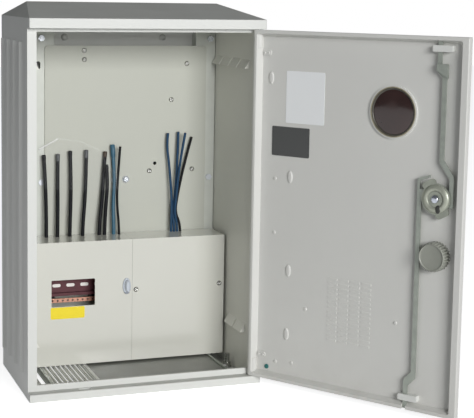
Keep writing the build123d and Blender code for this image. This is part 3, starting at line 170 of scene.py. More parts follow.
cables = {}
for routes, diameter in ((thick_routes, thick_cable), (thin_routes, thin_cable)):
    for name, route in routes.items():
        piece = cable_curve(name.replace("cable", "cable_end"), cable_points(route), diameter)
        line = centre_line(piece)
        length = sum((b - a).length for a, b in zip(line, line[1:]))
        cables[name] = {"piece": piece, "line": line, "length": length, "diameter": diameter, "tips": []}
        print(name, "length", round(length, 4), "m")

# %% [markdown]
# ## Shared effects
#
# Moulded polyester, sheet metal and plastic all drift a little in tone, carry a fine grain and
# gather grime low down. Each effect is one node group with named inputs, so every material can
# use it at its own strength. The groups give out only colours, masks and heights.

# %% Node group helpers
def new_effect(name, inputs, outputs):
    """An empty shader group with named sockets, its input node and its output node."""
    tree = bpy.data.node_groups.new(name, "ShaderNodeTree")
    for label, kind, value in inputs:
        tree.interface.new_socket(name=label, in_out="INPUT", socket_type=kind).default_value = value
    for label, kind in outputs:
        tree.interface.new_socket(name=label, in_out="OUTPUT", socket_type=kind)
    return tree, tree.nodes.new("NodeGroupInput"), tree.nodes.new("NodeGroupOutput")


def arithmetic(tree, operation, first, second):
    """One Math node: either side is a socket or a number."""
    node = tree.nodes.new("ShaderNodeMath")
    node.operation = operation
    for socket, value in zip(node.inputs, (first, second)):
        if isinstance(value, (int, float)):
            socket.default_value = value
        else:
            tree.links.new(value, socket)
    return node.outputs[0]


def colour_mix(tree, blend, factor, first, second):
    """One Mix node for colours: each side is a socket, a number or a colour."""
    node = tree.nodes.new("ShaderNodeMix")
    node.data_type = "RGBA"
    node.blend_type = blend
    for socket, value in ((node.inputs[0], factor), (node.inputs[6], first), (node.inputs[7], second)):
        if isinstance(value, (int, float)):
            socket.default_value = value
        elif isinstance(value, tuple):
            socket.default_value = (*value, 1.0)
        else:
            tree.links.new(value, socket)
    return node.outputs[2]


def object_noise(tree, scale, detail=3.0, stretch=(1.0, 1.0, 1.0)):
    """Noise on the piece's own coordinates, stretched along an axis where that is asked."""
    place = tree.nodes.new("ShaderNodeTexCoord").outputs["Object"]
    if stretch != (1.0, 1.0, 1.0):
        mapping = tree.nodes.new("ShaderNodeMapping")
        mapping.inputs["Scale"].default_value = stretch
        tree.links.new(place, mapping.inputs["Vector"])
        place = mapping.outputs["Vector"]
    noise = tree.nodes.new("ShaderNodeTexNoise")
    noise.inputs["Detail"].default_value = detail
    tree.links.new(place, noise.inputs["Vector"])
    if isinstance(scale, (int, float)):
        noise.inputs["Scale"].default_value = scale
    else:
        tree.links.new(scale, noise.inputs["Scale"])
    return noise.outputs["Fac"]


print("node helpers ready")

# %% [markdown]
# Tone drift keeps large plain faces from looking flat. The moulded grain gives them their fine pebble. Grime
# darkens what stands low, and faces that look up get painted shade, a darker colour in patches. The drawn
# lines are for metal.

# %% Effect: tone drift
def make_tone_drift():
    """The colour wanders lighter and darker; noise keeps near its middle, so it is stretched."""
    stretch = 4.0
    tree, inlet, outlet = new_effect(
        "tone_drift",
        [("Colour", "NodeSocketColor", (0.5, 0.5, 0.5, 1.0)), ("Amount", "NodeSocketFloat", 0.05),
         ("Scale", "NodeSocketFloat", 6.0)],
        [("Colour", "NodeSocketColor"), ("Cloud", "NodeSocketFloat")])
    cloud = object_noise(tree, inlet.outputs["Scale"], detail=4.0)
    centred = arithmetic(tree, "SUBTRACT", cloud, 0.5)
    swing = arithmetic(tree, "MULTIPLY", centred, inlet.outputs["Amount"])
    level = arithmetic(tree, "ADD", arithmetic(tree, "MULTIPLY", swing, stretch), 1.0)
    grey = tree.nodes.new("ShaderNodeCombineColor")
    for socket in grey.inputs[0:3]:
        tree.links.new(level, socket)
    tree.links.new(colour_mix(tree, "MULTIPLY", 1.0, inlet.outputs["Colour"], grey.outputs[0]),
                   outlet.inputs["Colour"])
    tree.links.new(cloud, outlet.inputs["Cloud"])
    return tree


tone_drift = make_tone_drift()
print("effect", tone_drift.name)

# %% Effect: moulded grain
def make_moulded_grain():
    """A fine pebble with a slower orange peel under it, as height."""
    peel_scale, peel_height = 0.09, 6.0
    tree, inlet, outlet = new_effect(
        "moulded_grain",
        [("Scale", "NodeSocketFloat", 900.0), ("Peel", "NodeSocketFloat", 0.4)],
        [("Height", "NodeSocketFloat")])
    pebble = object_noise(tree, inlet.outputs["Scale"], detail=2.0)
    slow = object_noise(tree, arithmetic(tree, "MULTIPLY", inlet.outputs["Scale"], peel_scale), detail=2.0)
    peel = arithmetic(tree, "MULTIPLY", slow, inlet.outputs["Peel"])
    tree.links.new(arithmetic(tree, "ADD", pebble, arithmetic(tree, "MULTIPLY", peel, peel_height)),
                   outlet.inputs["Height"])
    return tree


moulded_grain = make_moulded_grain()
print("effect", moulded_grain.name)

# %% Effect: grime that settles low
def make_low_grime():
    """Dust that thickens towards the ground and breaks up in patches."""
    tree, inlet, outlet = new_effect(
        "low_grime",
        [("Colour", "NodeSocketColor", (0.5, 0.5, 0.5, 1.0)),
         ("Grime", "NodeSocketColor", (0.30, 0.27, 0.22, 1.0)),
         ("Amount", "NodeSocketFloat", 0.3), ("Reach", "NodeSocketFloat", 0.15)],
        [("Colour", "NodeSocketColor"), ("Mask", "NodeSocketFloat")])
    split = tree.nodes.new("ShaderNodeSeparateXYZ")
    tree.links.new(tree.nodes.new("ShaderNodeTexCoord").outputs["Object"], split.inputs[0])
    rise = arithmetic(tree, "DIVIDE", split.outputs["Z"], inlet.outputs["Reach"])
    falling = arithmetic(tree, "MAXIMUM", arithmetic(tree, "SUBTRACT", 1.0, rise), 0.0)
    patches = object_noise(tree, scale=26.0, detail=5.0)
    broken = arithmetic(tree, "MULTIPLY", falling, arithmetic(tree, "POWER", patches, 2.0))
    mask = arithmetic(tree, "MINIMUM", arithmetic(tree, "MULTIPLY", broken, inlet.outputs["Amount"]), 1.0)
    tree.links.new(colour_mix(tree, "MIX", mask, inlet.outputs["Colour"], inlet.outputs["Grime"]),
                   outlet.inputs["Colour"])
    tree.links.new(mask, outlet.inputs["Mask"])
    return tree


low_grime = make_low_grime()
print("effect", low_grime.name)

# %% Effect: painted shade on faces that look up
def make_painted_top_shade():
    """Painted shade: what faces the sky gets a darker colour, broken up in patches."""
    tree, inlet, outlet = new_effect(
        "painted_top_shade",
        [("Colour", "NodeSocketColor", (0.5, 0.5, 0.5, 1.0)),
         ("Shade", "NodeSocketColor", (0.14, 0.14, 0.10, 1.0)), ("Amount", "NodeSocketFloat", 0.4)],
        [("Colour", "NodeSocketColor"), ("Mask", "NodeSocketFloat")])
    split = tree.nodes.new("ShaderNodeSeparateXYZ")
    tree.links.new(tree.nodes.new("ShaderNodeTexCoord").outputs["Normal"], split.inputs[0])
    upward = arithmetic(tree, "MINIMUM", arithmetic(tree, "MAXIMUM", split.outputs["Z"], 0.0), 0.5)
    patchiness = object_noise(tree, scale=14.0, detail=5.0)
    broken = arithmetic(tree, "ADD", arithmetic(tree, "MULTIPLY", patchiness, 0.7), 0.65)
    doubled = arithmetic(tree, "MULTIPLY", upward, 2.0)
    mask = arithmetic(tree, "MULTIPLY", arithmetic(tree, "MULTIPLY", doubled, broken),
                      inlet.outputs["Amount"])
    tree.links.new(colour_mix(tree, "MIX", mask, inlet.outputs["Colour"], inlet.outputs["Shade"]),
                   outlet.inputs["Colour"])
    tree.links.new(mask, outlet.inputs["Mask"])
    return tree


painted_top_shade = make_painted_top_shade()
print("effect", painted_top_shade.name)

# %% Effect: rolled or brushed lines
def make_drawn_lines():
    """Fine lines along Z, as rolled, drawn or brushed metal has them."""
    tree, inlet, outlet = new_effect(
        "drawn_lines",
        [("Scale", "NodeSocketFloat", 300.0), ("Shift", "NodeSocketFloat", 0.1)],
        [("Height", "NodeSocketFloat"), ("Roughness shift", "NodeSocketFloat")])
    lines = object_noise(tree, inlet.outputs["Scale"], detail=3.0, stretch=(1.0, 1.0, 0.05))
    blotch = object_noise(tree, scale=60.0, detail=4.0)
    tree.links.new(lines, outlet.inputs["Height"])
    swing = arithmetic(tree, "MULTIPLY", arithmetic(tree, "SUBTRACT", blotch, 0.5), inlet.outputs["Shift"])
    tree.links.new(swing, outlet.inputs["Roughness shift"])
    return tree


drawn_lines = make_drawn_lines()
print("effect", drawn_lines.name)

# %% [markdown]
# ## Finishes
#
# One function makes the moulded and painted finishes, another the metals. The numbers that stay
# the same over a surface are set on the shader itself. Only what varies comes from the groups.

# %% Material helpers
def place_effect(tree, effect, **values):
    """One copy of an effect in a material, with this material's own numbers."""
    node = tree.nodes.new("ShaderNodeGroup")
    node.node_tree = effect
    for label, value in values.items():
        socket = node.inputs[label.replace("_", " ")]
        if isinstance(value, tuple):
            socket.default_value = (*value, 1.0)
        elif isinstance(value, (int, float)):
            socket.default_value = value
        else:
            tree.links.new(value, socket)
    return node


def blank_finish(name):
    """A new material and its shader."""
    material = bpy.data.materials.new(name)
    material.use_nodes = True
    return material, material.node_tree, material.node_tree.nodes["Principled BSDF"]


def add_bump(tree, shader, height, strength, distance=0.0004):
    """Height into the shader's normal."""
    bump = tree.nodes.new("ShaderNodeBump")
    bump.inputs["Strength"].default_value = strength
    bump.inputs["Distance"].default_value = distance
    tree.links.new(height, bump.inputs["Height"])
    tree.links.new(bump.outputs["Normal"], shader.inputs["Normal"])


def moulded_finish(name, colour, roughness, drift=0.03, cloud=7.0, grain=900.0, bump=0.12,
                   grime=0.0, reach=0.15, coat=0.0, top_shade=0.0):
    """Moulded, painted or printed plastic."""
    sheen_swing = 0.25
    material, tree, shader = blank_finish(name)
    tone = place_effect(tree, tone_drift, Colour=colour, Amount=drift, Scale=cloud)
    surface = tone.outputs["Colour"]
    if grime:
        settled = place_effect(tree, low_grime, Colour=surface, Amount=grime, Reach=reach)
        surface = settled.outputs["Colour"]
    # Faces that look up get painted shade: a darker colour in patches.
    if top_shade:
        surface = place_effect(tree, painted_top_shade, Colour=surface, Amount=top_shade).outputs["Colour"]
    tree.links.new(surface, shader.inputs["Base Color"])
    centred = arithmetic(tree, "SUBTRACT", tone.outputs["Cloud"], 0.5)
    swing = arithmetic(tree, "MULTIPLY", centred, sheen_swing)
    tree.links.new(arithmetic(tree, "ADD", swing, roughness), shader.inputs["Roughness"])
    skin = place_effect(tree, moulded_grain, Scale=grain)
    add_bump(tree, shader, skin.outputs["Height"], bump)
    shader.inputs["Coat Weight"].default_value = coat
    shader.inputs["Coat Roughness"].default_value = 0.12
    return material


def metal_finish(name, colour, roughness, metallic=1.0, drift=0.08, cloud=40.0, lines=400.0, bump=0.1):
    """Rolled, drawn or plated metal."""
    material, tree, shader = blank_finish(name)
    tone = place_effect(tree, tone_drift, Colour=colour, Amount=drift, Scale=cloud)
    tree.links.new(tone.outputs["Colour"], shader.inputs["Base Color"])
    drawn = place_effect(tree, drawn_lines, Scale=lines, Shift=0.2)
    tree.links.new(arithmetic(tree, "ADD", drawn.outputs["Roughness shift"], roughness),
                   shader.inputs["Roughness"])
    add_bump(tree, shader, drawn.outputs["Height"], bump, distance=0.0002)
    shader.inputs["Metallic"].default_value = metallic
    return material


print("material helpers ready")

# %% [markdown]
# Every finish is one row: its name, its linear colour, its roughness and what differs from the usual.
# A solid's finish has the name of its slot. The colours were judged by comparing renders with the
# photograph.

# %% Moulded, painted and printed finishes
moulded = {
    # grp_grey carries painted shade on the roof and on every face that looks up.
    "grp_grey": ((0.74, 0.75, 0.72), 0.46, dict(drift=0.02, grime=0.15, reach=0.05, top_shade=0.35)),
    "grp_door": ((0.70, 0.70, 0.67), 0.40, dict(drift=0.025, cloud=5.0, grime=0.4, reach=0.10)),
    "liner": ((0.74, 0.74, 0.68), 0.45, dict(drift=0.02)),
    "rail_zinc": ((0.62, 0.64, 0.59), 0.42, dict(drift=0.04, cloud=40.0)),
    "plug": ((0.010, 0.150, 0.140), 0.35, dict(drift=0.1, cloud=200.0)),
    "board": ((0.53, 0.54, 0.48), 0.55, dict(drift=0.02, cloud=9.0, grain=700.0)),
    "floor_slats": ((0.82, 0.83, 0.80), 0.50, dict(drift=0.10, cloud=60.0, grime=0.8, reach=0.03)),
    "floor_plate": ((0.20, 0.21, 0.19), 0.38, dict(drift=0.05, cloud=20.0, grime=0.8, reach=0.03)),
    "cover": ((0.66, 0.66, 0.60), 0.24, dict(drift=0.015, cloud=6.0, bump=0.015, coat=1.0)),
    "knob": ((0.60, 0.65, 0.72), 0.22, dict(drift=0.06, cloud=120.0, coat=0.4)),
    "black_plastic": ((0.025, 0.025, 0.026), 0.50, dict(drift=0.1, cloud=60.0)),
    "terminal_grey": ((0.36, 0.38, 0.35), 0.50, dict(drift=0.06)),
    "black_cable": ((0.006, 0.007, 0.009), 0.55, dict(drift=0.15, cloud=90.0, grain=1600.0, bump=0.06)),
    "blue_cable": ((0.018, 0.058, 0.120), 0.48, dict(drift=0.15, cloud=90.0, grain=1600.0, bump=0.06)),
    "smoked_glass": ((0.036, 0.016, 0.014), 0.12, dict(drift=0.2, cloud=30.0, bump=0.01, coat=0.3)),
    "paper": ((0.90, 0.92, 0.93), 0.75, dict(drift=0.02, grain=2500.0)),
    "black_plate": ((0.045, 0.048, 0.047), 0.25, dict(drift=0.1, bump=0.02, coat=0.3)),
    "guide": ((0.74, 0.75, 0.72), 0.42, dict(drift=0.03)),
    "cap_plastic": ((0.31, 0.32, 0.28), 0.45, dict(drift=0.04, cloud=50.0)),
    "grey_tip": ((0.085, 0.090, 0.095), 0.50, dict(drift=0.12, cloud=150.0)),
    "brown_tip": ((0.060, 0.042, 0.030), 0.50, dict(drift=0.15, cloud=150.0)),
    "steel_blue": ((0.040, 0.125, 0.190), 0.40, dict(drift=0.15, cloud=120.0)),
    # painted shade that stands for the cam plate's slot
    "painted_slot_shade": ((0.040, 0.042, 0.038), 0.60, dict(drift=0.2, cloud=90.0)),
    "gasket": ((0.075, 0.070, 0.055), 0.35, dict(drift=0.35, cloud=90.0)),
    "old_bead": ((0.33, 0.30, 0.21), 0.50, dict(drift=0.35, cloud=110.0)),
    "knob_shadow": ((0.16, 0.18, 0.22), 0.40, dict(drift=0.1, cloud=90.0)),
    # painted light seen through the rail's slots
    "painted_slot_light": ((0.92, 0.88, 0.84), 0.50, dict(drift=0.05, cloud=60.0)),
    "yellow_label": ((0.92, 0.74, 0.02), 0.42, dict(drift=0.03, cloud=40.0, bump=0.03)),
}
finishes = {name: moulded_finish(name, colour, roughness, **more)
            for name, (colour, roughness, more) in moulded.items()}
for sheath in ("black_cable", "blue_cable"):
    finishes[sheath].node_tree.nodes["Principled BSDF"].inputs["Specular IOR Level"].default_value = 0.2
print(len(moulded), "moulded finishes")

# %% Metal finishes
metals = {
    "zinc_fixings": ((0.46, 0.46, 0.44), 0.24, dict()),
    "galvanised_steel": ((0.34, 0.37, 0.33), 0.42, dict(metallic=0.4, drift=0.12, cloud=90.0)),
    "pillar_steel": ((0.55, 0.55, 0.53), 0.35, dict()),
    "bronze_rail": ((0.095, 0.022, 0.030), 0.50, dict(metallic=0.2, drift=0.15, cloud=80.0)),
    "copper": ((0.80, 0.42, 0.30), 0.42, dict(metallic=0.35)),
    "brass": ((0.56, 0.40, 0.17), 0.34, dict()),
    "pin_steel": ((0.66, 0.66, 0.66), 0.22, dict(drift=0.05)),
    "cam_steel": ((0.32, 0.34, 0.29), 0.36, dict(metallic=0.6, drift=0.12, cloud=50.0)),
    "lock_chrome": ((0.72, 0.72, 0.72), 0.18, dict()),
    "bare_strands": ((0.48, 0.40, 0.34), 0.40, dict(lines=900.0, bump=0.5)),
    "bright_zinc": ((0.72, 0.75, 0.80), 0.30, dict(metallic=0.55, drift=0.05)),
    "cam_dish": ((0.40, 0.42, 0.35), 0.38, dict(metallic=0.35, drift=0.12, cloud=90.0)),
    "bolt_blue": ((0.52, 0.55, 0.62), 0.25, dict(metallic=0.95, drift=0.1)),
}
for name, (colour, roughness, more) in metals.items():
    finishes[name] = metal_finish(name, colour, roughness, **more)
print(len(metals), "metal finishes")

# %% [markdown]
# The film is clear, with a faint haze. Where it is seen edge on it gets a painted sheen, and along its folded
# edge a painted highlight. The sheet's mesh brings that edge as an attribute, from 0 to 1.

# %% Finish of the clear film
def clear_film_finish(haze=0.02, painted_sheen_share=0.10, fold_highlight_share=0.75):
    """Clear film, with alpha from haze, a painted sheen seen edge on and a painted highlight along the fold.
    """
    material, tree, shader = blank_finish("clear_film")
    cloudy = place_effect(tree, tone_drift, Colour=(0.96, 0.97, 0.97), Amount=0.03, Scale=30.0)
    tree.links.new(cloudy.outputs["Colour"], shader.inputs["Base Color"])
    sheen_facing = tree.nodes.new("ShaderNodeLayerWeight")
    sheen_facing.inputs["Blend"].default_value = 0.35
    fold_highlight = tree.nodes.new("ShaderNodeAttribute")
    fold_highlight.attribute_name = "fold_highlight"
    painted_sheen = arithmetic(tree, "MULTIPLY", sheen_facing.outputs["Facing"], painted_sheen_share)
    fold_highlight_part = arithmetic(tree, "MULTIPLY", fold_highlight.outputs["Fac"], fold_highlight_share)
    alpha = arithmetic(tree, "ADD", arithmetic(tree, "ADD", painted_sheen, fold_highlight_part), haze)
    tree.links.new(alpha, shader.inputs["Alpha"])
    shader.inputs["Roughness"].default_value = 0.12
    return material


finishes["clear_film"] = clear_film_finish()
print("finish", finishes["clear_film"].name)

# %% [markdown]
# The frame's record says which slot each solid fills. Every new piece rides a body, and it fills a
# slot where it has that slot's finish.

# %% Put the finishes on the solids
finish_of = {entry["node"]: entry["material_slot"] for entry in frame["record"]["subparts"]}
for name, solid in nodes.items():
    solid.data.materials.clear()
    solid.data.materials.append(finishes[finish_of[name]])
print("finished", len(finish_of), "solids")


def dress(piece, finish_name, body, *stands_for):
    """Finish a new piece, let it ride and hide the solids that it stands for."""
    if not piece.data.materials:
        piece.data.materials.append(finishes[finish_name])
    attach(piece, body)
    if stands_for:
        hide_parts(*stands_for)
    return piece


# %% [markdown]
# ## Light, floor and background
#
# The photograph was lit from the front, from above the cabinet's height, against white. One wide
# soft lamp stands there, and the world gives an even grey. The white behind comes from the world and
# the floor as the camera sees them, not from more light.

# %% Lamp
lamp_place, lamp_aim = Vector((0.5, -8.0, 2.35)), Vector((0.0, 0.0, 0.33))
lamp = new_object("front_lamp", bpy.data.lights.new("front_lamp", "AREA"))
lamp.data.shape = "RECTANGLE"
lamp.data.size, lamp.data.size_y = 3.6, 2.4
lamp.data.energy = 490.0
lamp.location = lamp_place
lamp.rotation_euler = (lamp_aim - lamp_place).to_track_quat("-Z", "Y").to_euler()
print("lamp", round(lamp.data.size, 2), "by", round(lamp.data.size_y, 2), "m,", lamp.data.energy, "W")

# %% [markdown]
# The world shows white to the camera and gives a weak grey to everything else. The floor glows only
# for the camera, reflections and glass, so its white adds no light to the cabinet.

# %% World and floor
def seen_directly(tree):
    """One where the camera, a reflection or a glass looks, nought where light is gathered."""
    path = tree.nodes.new("ShaderNodeLightPath")
    glossy = arithmetic(tree, "MAXIMUM", path.outputs["Is Camera Ray"], path.outputs["Is Glossy Ray"])
    return arithmetic(tree, "MAXIMUM", glossy, path.outputs["Is Transmission Ray"])


world = bpy.data.worlds.new("studio")
world.use_nodes = True
bpy.context.scene.world = world
sky = world.node_tree.nodes["Background"]
white = world.node_tree.nodes.new("ShaderNodeBackground")
sky.inputs["Color"].default_value = (0.93, 0.96, 1.0, 1.0)
sky.inputs["Strength"].default_value = 0.15
white.inputs["Color"].default_value = (1.0, 1.0, 1.0, 1.0)
white.inputs["Strength"].default_value = 1.0
choose = world.node_tree.nodes.new("ShaderNodeMixShader")
path = world.node_tree.nodes.new("ShaderNodeLightPath")
world.node_tree.links.new(path.outputs["Is Camera Ray"], choose.inputs[0])
world.node_tree.links.new(sky.outputs[0], choose.inputs[1])
world.node_tree.links.new(white.outputs[0], choose.inputs[2])
world.node_tree.links.new(choose.outputs[0], world.node_tree.nodes["World Output"].inputs["Surface"])

floor_reach, floor_glow = 9.0, 0.76
floor_corners = [(x * floor_reach, y * floor_reach, 0.0) for x, y in ((-1, -1), (1, -1), (1, 1), (-1, 1))]
floor_mesh = bpy.data.meshes.new("floor")
floor_mesh.from_pydata(floor_corners, [], [(0, 1, 2, 3)])
floor = new_object("floor", floor_mesh)
floor_finish, floor_tree, floor_shader = blank_finish("pale_floor")
floor_shader.inputs["Base Color"].default_value = (0.80, 0.80, 0.80, 1.0)
floor_shader.inputs["Roughness"].default_value = 0.9
floor_shader.inputs["Emission Color"].default_value = (1.0, 1.0, 1.0, 1.0)
floor_tree.links.new(arithmetic(floor_tree, "MULTIPLY", seen_directly(floor_tree), floor_glow),
                     floor_shader.inputs["Emission Strength"])
floor_mesh.materials.append(floor_finish)
print("world", world.name, "and floor", floor.name)

# %% [markdown]
# ## Cables and their tips
#
# Most thick ends wear a short cap or a wrap of tape, so that the strands stay together until the
# meter is fitted. The thin ends show bare strands. Each tip is a small turned shape, set on the end
# of the curve along its own direction.

# %% A turned shape
def bridge(form, low, high):
    """Faces between two rings; a ring of one point closes the form."""
    for i in range(max(len(low), len(high))):
        corners = [low[i % len(low)], low[(i + 1) % len(low)],
                   high[(i + 1) % len(high)], high[i % len(high)]]
        form.faces.new(list(dict.fromkeys(corners)))


def keep_form(name, form, stand=Matrix.Identity(4)):
    """Turn the faces outwards, smooth them and keep the form as a piece."""
    bmesh.ops.recalc_face_normals(form, faces=form.faces)
    for face in form.faces:
        face.smooth = True
    mesh = bpy.data.meshes.new(name)
    form.to_mesh(mesh)
    form.free()
    mesh.transform(stand)
    return new_object(name, mesh)


def lathe(name, profile, segments=32, stand=Matrix.Identity(4)):
    """A closed shape turned about its own Z from (radius, height) rings, from the axis to the axis.

    A ring may add a number of waves and their depth as a share of its radius, for ribs or a recess.
    """
    form = bmesh.new()
    rings = []
    for radius, height, *wave in profile:
        if radius == 0:
            rings.append([form.verts.new((0.0, 0.0, height))])
            continue
        count, share = wave or (0, 0.0)
        points = []
        for i in range(segments):
            angle = 2 * pi * i / segments
            reach = radius * (1.0 + share * cos(count * angle))
            points.append(form.verts.new((reach * cos(angle), reach * sin(angle), height)))
        rings.append(points)
    for low, high in zip(rings, rings[1:]):
        bridge(form, low, high)
    return keep_form(name, form, stand)


def stand_along(place, direction):
    """The matrix that sets a turned shape on a place, with its Z along a direction."""
    return Matrix.Translation(place) @ Vector(direction).to_track_quat("Z", "Y").to_matrix().to_4x4()


print("form helpers ready")

# %% Tips on the cable ends
def cable_tip(kind, cable, length, extra, finish_name, past_end=0.0008):
    """A cap, tape or bare strands over the last stretch of a cable; extra widens its radius."""
    line = cables[cable]["line"]
    end, before = line[-1], line[-3]
    direction = (end - before).normalized()
    radius = cables[cable]["diameter"] / 2 + extra
    profile = [(0.0, 0.0), (radius * 0.93, 0.0), (radius, 0.0006), (radius, length - 0.0010),
               (radius * 0.72, length), (0.0, length)]
    tip = lathe(f"{kind}_{cable}", profile, 24, stand_along(end - direction * (length - past_end), direction))
    cables[cable]["tips"].append(dress(tip, finish_name, "cabinet"))


cable_tip("cap", "cable_2", 0.013, 0.0004, "grey_tip")
cable_tip("cap", "cable_4", 0.015, 0.0004, "grey_tip")
cable_tip("cap", "cable_5", 0.010, 0.0003, "brown_tip")
cable_tip("cap", "cable_7", 0.022, 0.0009, "steel_blue")
for number in (1, 3, 6):
    cable_tip("tape", f"cable_{number}", 0.009, 0.0003, "black_cable")
for number in range(8, 13):
    cable_tip("strands", f"cable_{number}", 0.0016, -0.0007, "bare_strands")
print("tips", sum(len(entry["tips"]) for entry in cables.values()))

# %% [markdown]
# Cable 7 is lighter than the other blue ones, so it gets its own finish first. Each cable then takes its
# slot's finish where it has none, rides the cabinet and hides its solid.

cables["cable_7"]["piece"].data.materials.append(finishes["steel_blue"])
for name, entry in cables.items():
    piece = dress(entry["piece"], finish_of[name], "cabinet", name)
print("cables", len(cables))

# %% [markdown]
# ## Small repeated forms
#
# Screw heads and moulded bosses come again and again. One Geometry Nodes tree sets a form on every
# point that it gets, turns it the way it faces, twists it at random from a fixed seed and gives it
# its finish. The tree runs once and its mesh is kept.

# %% A tree that sets one form on many points
def make_set_on_points():
    """One form on every point of a mesh; Random Value's sockets are its float Max, Seed and Value."""
    tree = bpy.data.node_groups.new("set_on_points", "GeometryNodeTree")
    for label, kind in (("Places", "NodeSocketGeometry"), ("Form", "NodeSocketObject"),
                        ("Facing", "NodeSocketVector"), ("Turn", "NodeSocketFloat"),
                        ("Twist", "NodeSocketFloat"), ("Seed", "NodeSocketInt"),
                        ("Finish", "NodeSocketMaterial")):
        tree.interface.new_socket(name=label, in_out="INPUT", socket_type=kind)
    tree.interface.new_socket(name="Pieces", in_out="OUTPUT", socket_type="NodeSocketGeometry")
    inlet, outlet = tree.nodes.new("NodeGroupInput"), tree.nodes.new("NodeGroupOutput")
    form = tree.nodes.new("GeometryNodeObjectInfo")
    tree.links.new(inlet.outputs["Form"], form.inputs["Object"])
    facing = tree.nodes.new("FunctionNodeAlignRotationToVector")
    facing.axis = "Z"
    tree.links.new(inlet.outputs["Facing"], facing.inputs["Vector"])
    chance = tree.nodes.new("FunctionNodeRandomValue")
    chance.data_type = "FLOAT"
    tree.links.new(inlet.outputs["Twist"], chance.inputs[3])
    tree.links.new(inlet.outputs["Seed"], chance.inputs[8])
    about = tree.nodes.new("FunctionNodeAxisAngleToRotation")
    tree.links.new(arithmetic(tree, "ADD", chance.outputs[1], inlet.outputs["Turn"]), about.inputs["Angle"])
    twisted = tree.nodes.new("FunctionNodeRotateRotation")
    twisted.rotation_space = "LOCAL"
    tree.links.new(facing.outputs["Rotation"], twisted.inputs["Rotation"])
    tree.links.new(about.outputs["Rotation"], twisted.inputs["Rotate By"])
    spread = tree.nodes.new("GeometryNodeInstanceOnPoints")
    tree.links.new(inlet.outputs["Places"], spread.inputs["Points"])
    tree.links.new(form.outputs["Geometry"], spread.inputs["Instance"])
    tree.links.new(twisted.outputs["Rotation"], spread.inputs["Rotation"])
    real = tree.nodes.new("GeometryNodeRealizeInstances")
    tree.links.new(spread.outputs["Instances"], real.inputs["Geometry"])
    painted = tree.nodes.new("GeometryNodeSetMaterial")
    tree.links.new(real.outputs["Geometry"], painted.inputs["Geometry"])
    tree.links.new(inlet.outputs["Finish"], painted.inputs["Material"])
    tree.links.new(painted.outputs["Geometry"], outlet.inputs["Pieces"])
    return tree


set_on_points = make_set_on_points()


def repeat_form(name, form, places, facing, finish_name, turn=0.0, twist=0.0, seed=1):
    """Run the tree over some places and keep its mesh as one piece."""
    points = bpy.data.meshes.new(name + "_points")
    points.from_pydata([tuple(place) for place in places], [], [])
    holder = new_object(name + "_points", points)
    grow = holder.modifiers.new("grow", "NODES")
    grow.node_group = set_on_points
    values = {"Form": form, "Facing": tuple(facing), "Turn": turn, "Twist": twist, "Seed": seed,
              "Finish": finishes[finish_name]}
    for socket in set_on_points.interface.items_tree:
        if socket.in_out == "INPUT" and socket.name in values:
            grow[socket.identifier] = values[socket.name]
    graph = bpy.context.evaluated_depsgraph_get()
    mesh = bpy.data.meshes.new_from_object(holder.evaluated_get(graph))
    holder.modifiers.remove(grow)
    bpy.data.objects.remove(holder)
    bpy.data.objects.remove(form)
    return new_object(name, mesh)


print("tree", set_on_points.name, "with", len(set_on_points.nodes), "nodes")

# %% [markdown]
# A screw head is turned from a profile, with a recess of four waves. Every head is twisted by its
# own angle, up to a quarter turn. The cap nuts and the rail bolts are plated brighter, and fill the
# same slot as the screws.

# %% Screws on the board and on the covers
outwards = Vector((0.0, -1.0, 0.0))
board_face, cover_face = 0.090, 0.020
any_quarter = 1.6
screw_spots = ((-0.0604, 0.5607), (-0.0600, 0.5450), (0.1290, 0.5373), (0.1005, 0.4726),
               (0.0604, 0.3448), (0.1412, 0.3460))
nut_spots = ((-0.0038, 0.3297), (0.0166, 0.3308))
cover_spots = ((0.017, 0.145), (0.172, 0.147))
nodes["rail_bolts"].data.materials[0] = finishes["bright_zinc"]


def pan_head(name, radius, rise, reach, shank=0.00225):
    """A domed head with a cross recess, and its shank."""
    cross = (4, 0.30)
    return lathe(name, [(0.0, -reach), (shank, -reach), (shank, 0.0), (radius, 0.0), (radius, 0.10 * rise),
                        (0.96 * radius, 0.32 * rise), (0.87 * radius, 0.55 * rise),
                        (0.72 * radius, 0.76 * rise), (0.54 * radius, 0.90 * rise),
                        (0.36 * radius, 0.97 * rise, *cross), (0.24 * radius, 0.55 * rise, *cross),
                        (0.0, 0.50 * rise)], 40)


for name, form, face, spots, finish_name, seed, solid in (
        ("pan_screws", pan_head("screw_form", 0.0045, 0.003, 0.009), board_face, screw_spots,
         "zinc_fixings", 4, "board_screws"),
        ("cap_nuts", pan_head("nut_form", 0.0065, 0.005, 0.009), board_face, nut_spots,
         "bright_zinc", 9, "board_screws"),
        ("cover_pan_screws", pan_head("lid_form", 0.0045, 0.003, 0.011), cover_face, cover_spots,
         "zinc_fixings", 2, "cover_screws")):
    heads = repeat_form(name, form, [(x, face, z) for x, z in spots], outwards, finish_name,
                        twist=any_quarter, seed=seed)
    dress(heads, "zinc_fixings", "cabinet", solid)
    print(name, len(spots))

# %% [markdown]
# ## The door's moulded details
#
# The inside of the door carries low bosses left by the press: round ones, and long ones. They rise
# from the skin with soft edges, in the door's own finish. Their places are given on the door
# itself: u from its hinge edge, z up and v from its outer skin inwards.

# %% Places on the open door
door_turn = radians(124.2)
door_u = Vector((-cos(door_turn), -sin(door_turn), 0.0))
door_v = Vector((-sin(door_turn), cos(door_turn), 0.0))
hinge_axis, hinge_u, hinge_v = Vector((0.189, -0.111, 0.0)), 0.008, 0.007
door_corner = hinge_axis - hinge_u * door_u - hinge_v * door_v
door_skin = 0.00325
upright = door_turn - pi / 2


def on_door(u, z, v=door_skin):
    """A point of the door: u from the hinge edge, z up, v from the outer skin inwards."""
    return door_corner + door_u * u + door_v * v + Vector((0.0, 0.0, z))


